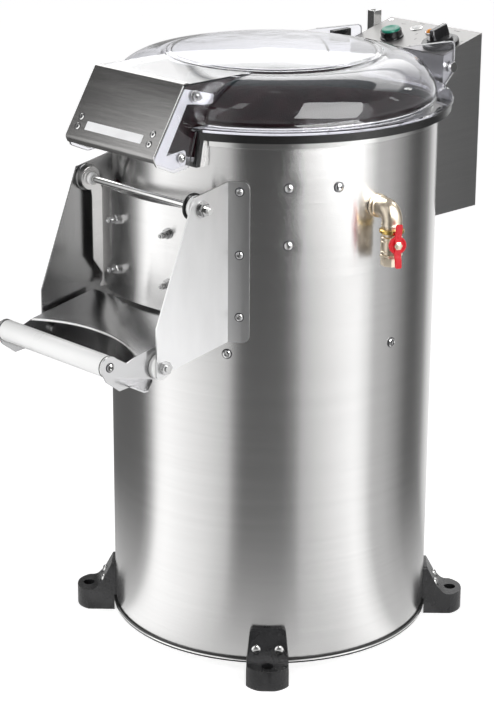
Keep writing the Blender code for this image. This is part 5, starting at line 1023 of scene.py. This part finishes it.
def mouth_seal():
    """The rubber profile on the rim, its strips beside the mouth and the steel behind them."""
    slot = front_slot(SEAL_SPAN[1] + GAP)
    rubber = [combined(lathe(SEAL_RING, SEAL_STEPS), [slot], "DIFFERENCE")]
    strip = [SEAL_FOOT, SEAL_HEAD, (SEAL_HEAD[0] + SEAL_DEPTH, SEAL_HEAD[1])]
    strip.append((SEAL_FOOT[0] + SEAL_DEPTH, SEAL_FOOT[1]))
    cheek = [(y + CHEEK_GAP, z) for y, z in (strip[3], strip[2])]
    cheek += [(SEAL_BACK, SEAL_HEAD[1]), (SEAL_BACK, SEAL_FOOT[1])]

    def outside_drum(shape):
        core = tube(DRUM_RADIUS + GAP, *CUT_SPAN, steps=SEAL_STEPS)
        return combined(shape, [core], "DIFFERENCE")

    steel = []
    for hand in (-1, 1):
        near, far = sorted(hand * x for x in SEAL_SPAN)
        rubber.append(placed(prism(strip, near, far), SIDEWAYS))
        plate = placed(prism(cheek, near + CHEEK_INSET, far - CHEEK_INSET), SIDEWAYS)
        steel.append(outside_drum(plate))
    sill = slab((-SEAL_SPAN[0], SEAL_FOOT[0], SEAL_FOOT[1]), (SEAL_SPAN[0], SEAL_BACK, MOUTH_SILL))
    rubber.append(outside_drum(sill))
    stand_in("mouth_seal", group(*rubber), RUBBER, "frame", "rim_gasket")
    piece("mouth_cheeks", group(*steel), STEEL, "frame", "top_rim")


# Feet's screws and the bead on the drum's edging

FOOT_AZIMUTHS = (45, 135, 225, 315)
FOOT_SCREW_SEAT = 0.2083
FOOT_SCREW_SPREAD = 0.014
FOOT_SCREW_HEIGHT = 0.0385


def foot_screws():
    """Two screws in the bores of each foot, and a bright bead round the edging."""
    neck = [(0, 0), (0.0046, 0), (0.0046, 0.0060), (0.0060, 0.0060), (0.0062, 0.0068), (0.0057, 0.0084)]
    neck += [(0.0042, 0.0096), (0.0022, 0.0102), (0, 0.0103)]
    heads = []
    for azimuth in FOOT_AZIMUTHS:
        turn = spun(azimuth)
        for hand in (-1, 1):
            place = (hand * FOOT_SCREW_SPREAD, -FOOT_SCREW_SEAT, FOOT_SCREW_HEIGHT)
            heads.append(placed(lathe(neck, 24), turn @ facing(place, (0, -1, 0))))
    piece("foot_screws", group(*heads), BRIGHT, "frame", "door_rod")

    low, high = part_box("base_trim_ring")
    radius, height = (high[0] - low[0]) / 2, (low[2] + high[2]) / 2
    line = ((-0.0010, -0.0009), (0.0003, -0.0009), (0.0006, 0), (0.0003, 0.0009), (-0.0010, 0.0009))
    bead = [(radius + out, height + up) for out, up in line]
    piece("trim_bead", lathe(bead, 160), BRIGHT, "frame", "top_rim")


# Outlet

ROD = (-0.214, 0.592)
ROD_BORE = 0.0043
ROD_NUT_PLACE = 0.1038
WALL_INSIDE = 0.1012
RING_RADIUS = 0.016
RING_CHAMFER = 0.0008
RING_HEIGHT = 0.0035
ROD_COLLAR = (0.0098, 0.0008)
ROD_NUT_LIFT = 0.0009
STUD_SPREAD = 0.0435
STUD_LEVELS = (0.490, 0.551)
DOOR_FACE = 0.217
PIVOT = (-0.274, 0.4175)
GRIP = (-0.346, 0.432)
DOOR_GAP = 0.0002
DOOR_WASHER = 0.0066
DOOR_NUT = (0.0058, 0.0056, 0.0100)
DOOR_NUT_LIFT = 0.0007
GRIP_SCREW = (0.0048, 0.0032)
GRIP_END = 0.0945
GRIP_BAND = (0.01275, 0.0014, 0.0118)
GRIP_BAND_PLACE = 0.0912
SPACER_PLACE = 0.0948
SPACER_HEIGHT = 0.0064


def rod_fittings():
    """Nuts, rings and bushes on the rod that carries the door."""
    line = [(ROD_BORE, 0), (0.008, 0), (0.008, 0.0055), (0.0071, 0.0065), (ROD_BORE, 0.0065)]
    for hand, name in ((-1, "left"), (1, "right")):
        seat = across(hand * ROD_NUT_PLACE, ROD, hand)
        nut = placed(lathe(line, 6), seat, Matrix.Translation((hand * ROD_NUT_LIFT, 0, 0)))
        collar = placed(washer(*ROD_COLLAR, ROD_BORE), seat)
        stand_in(f"rod_end_nut_{name}", group(nut, collar), BOLT_STEEL, "frame", f"rod_nut_{name}")

    sleeve = [(0.0078, 0), (0.0078, 0.0047), (0.0072, 0.0053), (ROD_BORE, 0.0053)]
    flanged = [(0.0138, 0), (0.0142, 0.0006), (0.0142, 0.0040), (0.0136, 0.0046), (0.0078, 0.0048)]
    flanged += [(0.0078, 0.0089), (ROD_BORE, 0.0089)]
    collar = [(0.0074, 0), (0.0074, 0.0040), (0.0068, 0.0046), (ROD_BORE, 0.0046)]
    for name, line, x, material, node, make in (
        ("rod_ring_left", None, -WALL_INSIDE, RING_STEEL, "rod_washer_left", stand_in),
        ("rod_ring_right", None, 0.0867, GLOSS_BLACK, "rod_washer_right", stand_in),
        ("rod_sleeve_left", sleeve, -0.0974, WHITE, "rod_bush_left", stand_in),
        ("rod_sleeve_right", flanged, 0.0923, WHITE, "rod_bush_right", stand_in),
        ("rod_collar_left", collar, -0.0900, WHITE, "rod_bush_left", piece),
    ):
        ring = lathe([(ROD_BORE, 0), *line], 40) if line else disc(RING_RADIUS, RING_HEIGHT)
        make(name, placed(ring, across(x, ROD, 1)), material, "frame", node)


def outlet_fittings():
    """Nuts on the door, and screws, end rings and spacers on the tray."""
    nuts = []
    for hand in (-1, 1):
        azimuth = hand * math.degrees(math.asin(STUD_SPREAD / DOOR_FACE))
        for height in STUD_LEVELS:
            seat = on_wall(azimuth, DOOR_FACE + DOOR_GAP, height)
            nuts.append(placed(washer(DOOR_WASHER, WASHER_HEIGHT), seat))
            nuts.append(placed(acorn_nut(*DOOR_NUT), raised(seat, DOOR_NUT_LIFT)))
    piece("door_nuts", group(*nuts), BOLT_STEEL, "door", "door_rod")

    screws, shade_rings, bands = [], [], []
    for hand in (-1, 1):
        screwed(screws, shade_rings, across(hand * GRIP_END, GRIP, hand), *GRIP_SCREW)
        bands.append(placed(washer(*GRIP_BAND), across(hand * GRIP_BAND_PLACE, GRIP, -hand)))
    piece("grip_screws", group(*screws), BOLT_STEEL, "tray", "door_rod")
    # Dark rings of painted shade round the grip screws
    piece("grip_screw_shade_rings", group(*shade_rings), INK_AND_SHADE, "tray", "rim_gasket")
    piece("grip_end_rings", group(*bands), RUBBER, "tray", "rim_gasket")

    for hand, name in ((-1, "left"), (1, "right")):
        spacer = placed(disc(RING_RADIUS, SPACER_HEIGHT), across(hand * SPACER_PLACE, PIVOT, hand))
        stand_in(f"tray_spacer_{name}", spacer, WHITE, "frame", f"tray_pivot_spacer_{name}")


TRAY_INNER = 0.093
TRAY_FRONT = (-0.3064, 0.4363)
TRAY_SAG = 0.0216
TRAY_SLOPE = (0.0964, 0.0167)
HEM_DROP = 0.0007
HEM_SIZE = (0.0019, 0.0015)
HEM_STEPS = 40


def tray_hem():
    """The rolled edge along the tray's curved front."""
    bow = (TRAY_INNER**2 + TRAY_SAG**2) / (2 * TRAY_SAG)
    spread = math.asin(TRAY_INNER / bow)
    centre = TRAY_FRONT[0] + TRAY_SAG - bow
    fall = TRAY_SLOPE[1] / TRAY_SLOPE[0]
    loops = []
    for i in range(HEM_STEPS + 1):
        angle = spread * (1 - 2 * i / HEM_STEPS)
        x, y = bow * math.sin(angle), centre + bow * math.cos(angle)
        place = Vector((x, y, TRAY_FRONT[1] + (y - TRAY_FRONT[0]) * fall - HEM_DROP))
        side = Vector((math.sin(angle), math.cos(angle), 0))
        ring = []
        for k in range(16):
            turn = math.tau * k / 16
            up = Vector((0, 0, HEM_SIZE[1] * math.sin(turn)))
            ring.append(place + side * HEM_SIZE[0] * math.cos(turn) + up)
        loops.append(ring)
    piece("tray_front_hem", lofted(loops), BRIGHT, "tray", "discharge_tray")


# Hood

HOOD_SHEET = 0.0015
HOOD_ROLL = 0.004
HOOD_LIP_LENGTH = 0.007
HOOD_LAP = 0.007
HOOD_SCREW = 0.0040
HOOD_SCREW_SHADE = 0.0036
HOOD_RECESS_SHADE = (0.0019, 0.0005)
LABEL_SIZE = (0.0485, 0.0053, 0.001)
HOOD_SCREWS = ((0.062, 0.676), (0.062, 0.6657))
LABEL_HEIGHT = 0.6685
UPPER_BOLT = (-0.199, 0.7149)
LOWER_BOLT = (-0.2197, 0.6473)
UPPER_NUT = (0.0052, 0.0050)
UPPER_WASHER = 0.0068
LOWER_SCREW = (0.0040, 0.0026)
LOWER_WASHER = 0.0056


def hood_sheet():
    """The steel sheet that closes the hood, rolled at its brow and its lower lip."""
    brow, lip = Vector(HOOD_BROW), Vector(HOOD_LIP)
    down = (Vector(HOOD_CHIN) - lip).normalized()
    along = (lip - brow).normalized()
    out, under = Vector((along.y, -along.x)), Vector((down.y, -down.x))

    def line(lift, roll):
        roof = HOOD_BROW[1] + lift
        top = brow + out * lift
        corner = top + along * ((roof - top.y) / along.y)
        low, end = lip + out * lift, lip + under * lift
        bend = low + along * 0.5 * ((end - low) @ (end - low)) / max((end - low) @ along, 1e-6)
        tip = end + down * HOOD_LIP_LENGTH
        return rounded(
            [(brow.x + HOOD_LAP, roof, 0), (*corner, roll * 0.7), (*bend, roll), (*tip, 0)], 8
        )

    inner, outer = line(GAP, HOOD_ROLL), line(HOOD_SHEET, HOOD_ROLL + HOOD_SHEET)
    shape = placed(prism([*outer, *reversed(inner)], -HOOD_SIDE, HOOD_SIDE), SIDEWAYS)
    piece("hood_sheet", shape, HOOD_STEEL, "lid", "hood_front_plate", ("hood_front_plate",))


def on_slope(x, height):
    """The move that seats a shape on the hood's sloping front, its X across and its Y up the slope."""
    share = (HOOD_BROW[1] - height) / (HOOD_BROW[1] - HOOD_LIP[1])
    along = Vector((0, HOOD_LIP[0] - HOOD_BROW[0], HOOD_LIP[1] - HOOD_BROW[1])).normalized()
    out = Vector((0, along.z, -along.y))
    y = HOOD_BROW[0] + (HOOD_LIP[0] - HOOD_BROW[0]) * share
    turn = Matrix((Vector((1, 0, 0)), -along, out)).transposed().to_4x4()
    return Matrix.Translation(Vector((x, y, height)) + out * HOOD_SHEET) @ turn


def hood_fittings():
    """Screws and the bare label on the hood's front, and bolts through its sides."""
    screws, shade_rings = [], []
    for hand in (-1, 1):
        for x, height in HOOD_SCREWS:
            seat = on_slope(hand * x, height)
            screws.append(placed(countersunk(HOOD_SCREW), seat))
            # A dark ring of painted shade round each screw, and a dark disc of painted shade in its recess
            shade_rings += [placed(shade_ring(HOOD_SCREW_SHADE), seat), placed(washer(*HOOD_RECESS_SHADE), seat)]
    piece("hood_front_screws", group(*screws), BRIGHT, "lid", "door_rod")
    piece("hood_screw_shade_rings", group(*shade_rings), INK_AND_SHADE, "lid", "rim_gasket")
    label = placed(prism(plaque(*LABEL_SIZE, 4), 0, GAP), on_slope(0, LABEL_HEIGHT))
    piece("hood_label", label, LABEL_WHITE, "lid", "tray_grip")

    bolts = []
    stud = [(0, 0), (0.0026, 0), (0.0026, 0.0088), (0.0021, 0.0095), (0, 0.0095)]
    for hand in (-1, 1):
        seat = across(hand * HOOD_SIDE, UPPER_BOLT, hand)
        bolts.append(placed(washer(UPPER_WASHER, WASHER_HEIGHT), seat))
        bolts.append(placed(hex_nut(*UPPER_NUT), raised(seat, ON_WASHER)))
        bolts.append(placed(lathe(stud, 20), raised(seat, ON_WASHER)))
        seat = across(hand * HOOD_SIDE, LOWER_BOLT, hand)
        bolts.append(placed(washer(LOWER_WASHER, WASHER_HEIGHT), seat))
        bolts.append(placed(button_head(*LOWER_SCREW), raised(seat, ON_WASHER)))
    piece("hood_side_bolts", group(*bolts), BOLT_STEEL, "lid", "door_rod")


# Water valve

VALVE_REACH = 0.2275
STEM_AZIMUTH = 62
STEM_HEIGHT = 0.5449
ELBOW_BEND = 0.0125
ELBOW_RADIUS = 0.0120
ELBOW_STEPS = (
    (0, 0.0135), (0.0012, 0.0139), (0.0022, 0.0139), (0.0030, 0.0126),
    (0.0046, 0.0126), (0.0054, 0.0133), (0.0072, 0.0133), (0.0080, 0.0120),
)
ELBOW_FOOT = ((0.5652, 0.0120), (0.5646, 0.0124), (0.5637, 0.0124))
KNURLS = 28
KNURL_RADIUS = 0.0128
KNURL_REACH = 0.0038
KNURL_BOX = ((-0.0005, -0.0009, -0.0005), (0.0005, 0.0009, 0.0007))
HANDLE_LEVELS = (0.0206, 0.0226)
HANDLE_TAPER = 0.9
HANDLE_NUT = (0.0050, 0.0022, 0.0012)
HANDLE_NUT_REACH = 0.0224
HANDLE_ARM = (
    (0, 0.0042, 0), (0.0100, 0.0042, 0.0002), (0.0130, 0.0042, 0.0012), (0.0180, 0.0042, 0.0030),
    (0.0240, 0.0042, 0.0038), (0.0254, 0.0036, 0.0040), (0.0260, 0.0026, 0.0040),
)


def inlet_elbow():
    """The elbow on the drum's wall, with the knurled ring at its foot."""
    turn = spun(INLET_AZIMUTH)
    face = DRUM_RADIUS + GAP
    stations = [(-face - out, INLET_HEIGHT, radius) for out, radius in ELBOW_STEPS]
    centre = (-VALVE_REACH + ELBOW_BEND, INLET_HEIGHT - ELBOW_BEND)
    stations += [(y, z, ELBOW_RADIUS) for y, z in arc(centre, ELBOW_BEND, 90, 180, 14)]
    stations += [(-VALVE_REACH, z, radius) for z, radius in ELBOW_FOOT]
    bodies = [placed(bent_bar(stations), turn)]
    for i in range(KNURLS):
        angle = math.tau * i / KNURLS
        out = Vector((KNURL_RADIUS * math.cos(angle), 0, KNURL_RADIUS * math.sin(angle)))
        seat = facing(out + Vector((0, -face - KNURL_REACH, INLET_HEIGHT)), out)
        bodies.append(placed(slab(*KNURL_BOX), seat, turn))
    stand_in("elbow", group(*bodies), BRASS, "frame", "inlet_elbow")


def valve_set():
    """The ball valve under the elbow, its union ring and its handle."""
    axis = Matrix.Translation(radial(INLET_AZIMUTH, VALVE_REACH))
    neck = [(0, 0.5632)]
    for i in range(3):
        top = 0.5632 - i * 0.0022
        neck += [(0.0108, top), (0.0108, top - 0.0012), (0.0099, top - 0.0016), (0.0099, top - 0.0020)]
    neck += [(0.0108, 0.5562), (0.0108, 0.5512), (0.0118, 0.5508), (0.0125, 0.5500), (0.0125, 0.5470)]
    neck += [(0.0119, 0.5464), (0.0119, 0.5458), (0.0125, 0.5452), (0.0125, 0.5352), (0.0119, 0.5346)]
    neck += [(0.0119, 0.5338), (0.0125, 0.5332), (0.0125, 0.5306), (0.0110, 0.5302), (0, 0.5302)]
    hexes = [(0, 0.5301), (0.0126, 0.5301), (0.0138, 0.5292), (0.0138, 0.5270)]
    hexes += [(0.0126, 0.5262), (0, 0.5262)]
    tail = [(0.0080, 0.5261), (0.0122, 0.5261), (0.0122, 0.5178), (0.0116, 0.5162), (0.0090, 0.5162)]
    tail.append((0.0080, 0.5172))
    body = placed(group(lathe(neck), lathe(hexes, 6), lathe(tail, 8)), axis)
    boss = [(0, 0.004), (0.0082, 0.004), (0.0082, 0.0128), (0.0074, 0.0136), (0.0058, 0.0138)]
    boss += [(0.0058, 0.0158), (0.0040, 0.0162), (0.0040, 0.0214), (0, 0.0214)]
    stem_seat = facing(radial(INLET_AZIMUTH, VALVE_REACH, STEM_HEIGHT), radial(STEM_AZIMUTH, 1))
    stand_in("ball_valve", group(body, placed(lathe(boss, 32), stem_seat)), BRASS, "frame", "valve_body")

    ring = [(0.0111, 0.5548), (0.0111, 0.5596), (0.0135, 0.5596), (0.0145, 0.5588), (0.0145, 0.5556)]
    ring.append((0.0135, 0.5548))
    stand_in("union_ring", placed(lathe(ring), axis), GOLD, "frame", "valve_union_nut")

    hub = [(0.0044, 0.0178), (0.0098, 0.0178), (0.0105, 0.0186), (0.0105, 0.0214), (0.0098, 0.0221)]
    hub += [(0.0086, 0.0221), (0.0078, 0.0212), (0.0058, 0.0209), (0.0044, 0.0209)]
    arm = [(-along, half, lift) for along, half, lift in reversed(HANDLE_ARM[1:])]
    loops = []
    for along, half, lift in (*arm, *HANDLE_ARM):
        low, high = (level + lift for level in HANDLE_LEVELS)
        slim = half * HANDLE_TAPER
        loops.append([(-half, along, low), (half, along, low), (slim, along, high), (-slim, along, high)])
    handle = placed(group(lathe(hub), lofted(loops)), stem_seat)
    stand_in("valve_handle", handle, RED, "valve_handle", "valve_lever", edge=0.0003)
    cap = placed(acorn_nut(*HANDLE_NUT), stem_seat)
    placed(cap, Matrix.Translation(radial(STEM_AZIMUTH, HANDLE_NUT_REACH)))
    piece("valve_handle_nut", cap, BRASS, "valve_handle", "valve_body")


# Control panel

PANEL_TILT = math.radians(13.8)
PANEL_FRONT = (0.2195, 0.7072)
BUTTON = (-0.027, 0.0215)
POWER = (-0.0165, 0.0575)
WARNING = (0.0135, 0.0505)
SELECTOR = (0.0515, 0.0265)
PANEL_SCREW = (-0.071, 0.0690)
PANEL_SCREW_RADIUS = 0.0034
PRINT = (-0.00005, 0.00008)
POINTER_BOX = ((-0.0006, 0.0040, 0.0230), (0.0006, 0.0130, 0.0234))
LENS_SHARE = 0.84
RIM_SHARE = 0.86
KNOB_LOOPS = (
    (0.0090, 0.0056, 0.0162), (0.0150, 0.0048, 0.0156),
    (0.0222, 0.0040, 0.0144), (0.0232, 0.0034, 0.0138),
)
PANEL_MARKS = (
    (-0.0440, 0.0630, 0.0060, 0.0010, 10), (-0.0190, 0.0720, 0.0080, 0.0010, 0),
    (-0.0026, 0.0420, 0.0012, 0.0040, 0), (0.0075, 0.0283, 0.0012, 0.0040, 0),
    (0.0425, 0.0690, 0.0090, 0.0010, 0), (0.0280, 0.0560, 0.0050, 0.0010, 0),
)
SELECTOR_TICK = ((-0.0005, 0.0255), (0.0005, 0.0285))
SELECTOR_TICK_ANGLES = (50, 0, -50)


def on_panel(side, back):
    """The move that seats a shape on the sloping panel."""
    slope = Matrix.Translation((0, *PANEL_FRONT)) @ Matrix.Rotation(PANEL_TILT, 4, "X")
    return slope @ Matrix.Translation((side, back, 0))


def panel_controls():
    """The button's cap and collar, the lamps and the knob on its base."""
    cap = [(0, 0.0128), (0.0060, 0.0128), (0.0066, 0.0132), (0.0096, 0.0132), (0.0112, 0.0127)]
    cap += [(0.0118, 0.0117), (0.0118, 0.0064), (0, 0.0064)]
    seat = on_panel(*BUTTON)
    stand_in("button_cap", placed(lathe(cap, 56), seat), GREEN, "button", "start_button")
    collar = [(0.0122, 0.0022), (0.0122, 0.0100), (0.0127, 0.0105), (0.0133, 0.0105), (0.0138, 0.0100)]
    collar += [(0.0138, 0.0028), (0.0150, 0.0022), (0.0152, 0.0014), (0.0152, 0.0003), (0.0121, 0.0003)]
    shape = placed(lathe(collar, 56), seat)
    stand_in("button_collar", shape, GLOSS_BLACK, "frame", "start_button_bezel")

    for name, spot, radius, height, skin, node in (
        ("power_lens", POWER, 0.008, 0.0025, WHITE, "power_lamp"),
        ("warning_lens", WARNING, 0.0065, 0.006, AMBER, "warning_lamp"),
    ):
        seat = on_panel(*spot)
        inner, outer = radius * LENS_SHARE, radius * RIM_SHARE
        dome = bulge(inner, height * 0.35, height * 0.65, range(0, 90, 15))
        lens = lathe([(0, GAP), (inner, GAP), *dome, (0, height)], 40)
        stand_in(name, placed(lens, seat), skin, "frame", node)
        rim = [(outer, GAP), (radius, GAP), (radius, height * 0.3)]
        rim += [(radius * 0.93, height * 0.42), (outer, height * 0.42)]
        piece(name + "_rim", placed(lathe(rim, 40), seat), BRIGHT, "frame", "door_rod")

    seat = on_panel(*SELECTOR)
    plate = [(0, 0.0052), (0.0160, 0.0052), (0.0168, 0.0056), (0.0225, 0.0056), (0.0236, 0.0050)]
    plate += [(0.0240, 0.0040), (0.0240, 0.0003), (0, 0.0003)]
    stand_in("selector_plate", placed(lathe(plate, 64), seat), RUBBER, "frame", "selector_base")
    skirt = [(0, 0.0059), (0.0158, 0.0059), (0.0164, 0.0066), (0.0164, 0.0086)]
    skirt += [(0.0156, 0.0098), (0, 0.0102)]
    loops = []
    for height, wide, long in KNOB_LOOPS:
        loops.append([(u, v, height) for u, v in plaque(wide, long, wide * 0.9, 6)])
    knob = placed(group(lathe(skirt, 56), lofted(loops)), seat)
    stand_in("selector_handle", knob, GLOSS_BLACK, "selector", "selector_knob", edge=0.0003)
    pointer = placed(slab(*POINTER_BOX), seat)
    piece("selector_pointer", pointer, WHITE, "selector", "tray_grip")


def panel_marks():
    """Plain printed bars and ticks on the panel, and its screw."""
    ticks = []

    def printed(low, high, spot, angle):
        mark = slab((*low, PRINT[0]), (*high, PRINT[1]))
        ticks.append(placed(mark, on_panel(*spot) @ spun(angle)))

    for side, back, wide, long, angle in PANEL_MARKS:
        printed((-wide / 2, -long / 2), (wide / 2, long / 2), (side, back), angle)
    for angle in SELECTOR_TICK_ANGLES:
        printed(*SELECTOR_TICK, SELECTOR, angle)
    piece("panel_ticks", group(*ticks), INK_AND_SHADE, "frame", "start_button_bezel")
    screw = placed(countersunk(PANEL_SCREW_RADIUS), on_panel(*PANEL_SCREW))
    piece("panel_screw", screw, BRIGHT, "frame", "door_rod")


camera()
surroundings()
floor()
softbox("softbox_left", -17)
softbox("softbox_right", 90)
cards()

for name in sorted(NODES):
    dress(name)

clear_lid()
drum_skin()
abrasive_coat()
mouth_seal()
drum_fasteners()
foot_screws()
rod_fittings()
outlet_fittings()
tray_hem()
hood_sheet()
hood_fittings()
inlet_elbow()
valve_set()
panel_controls()
panel_marks()

bpy.context.scene.view_settings.view_transform = "Standard"
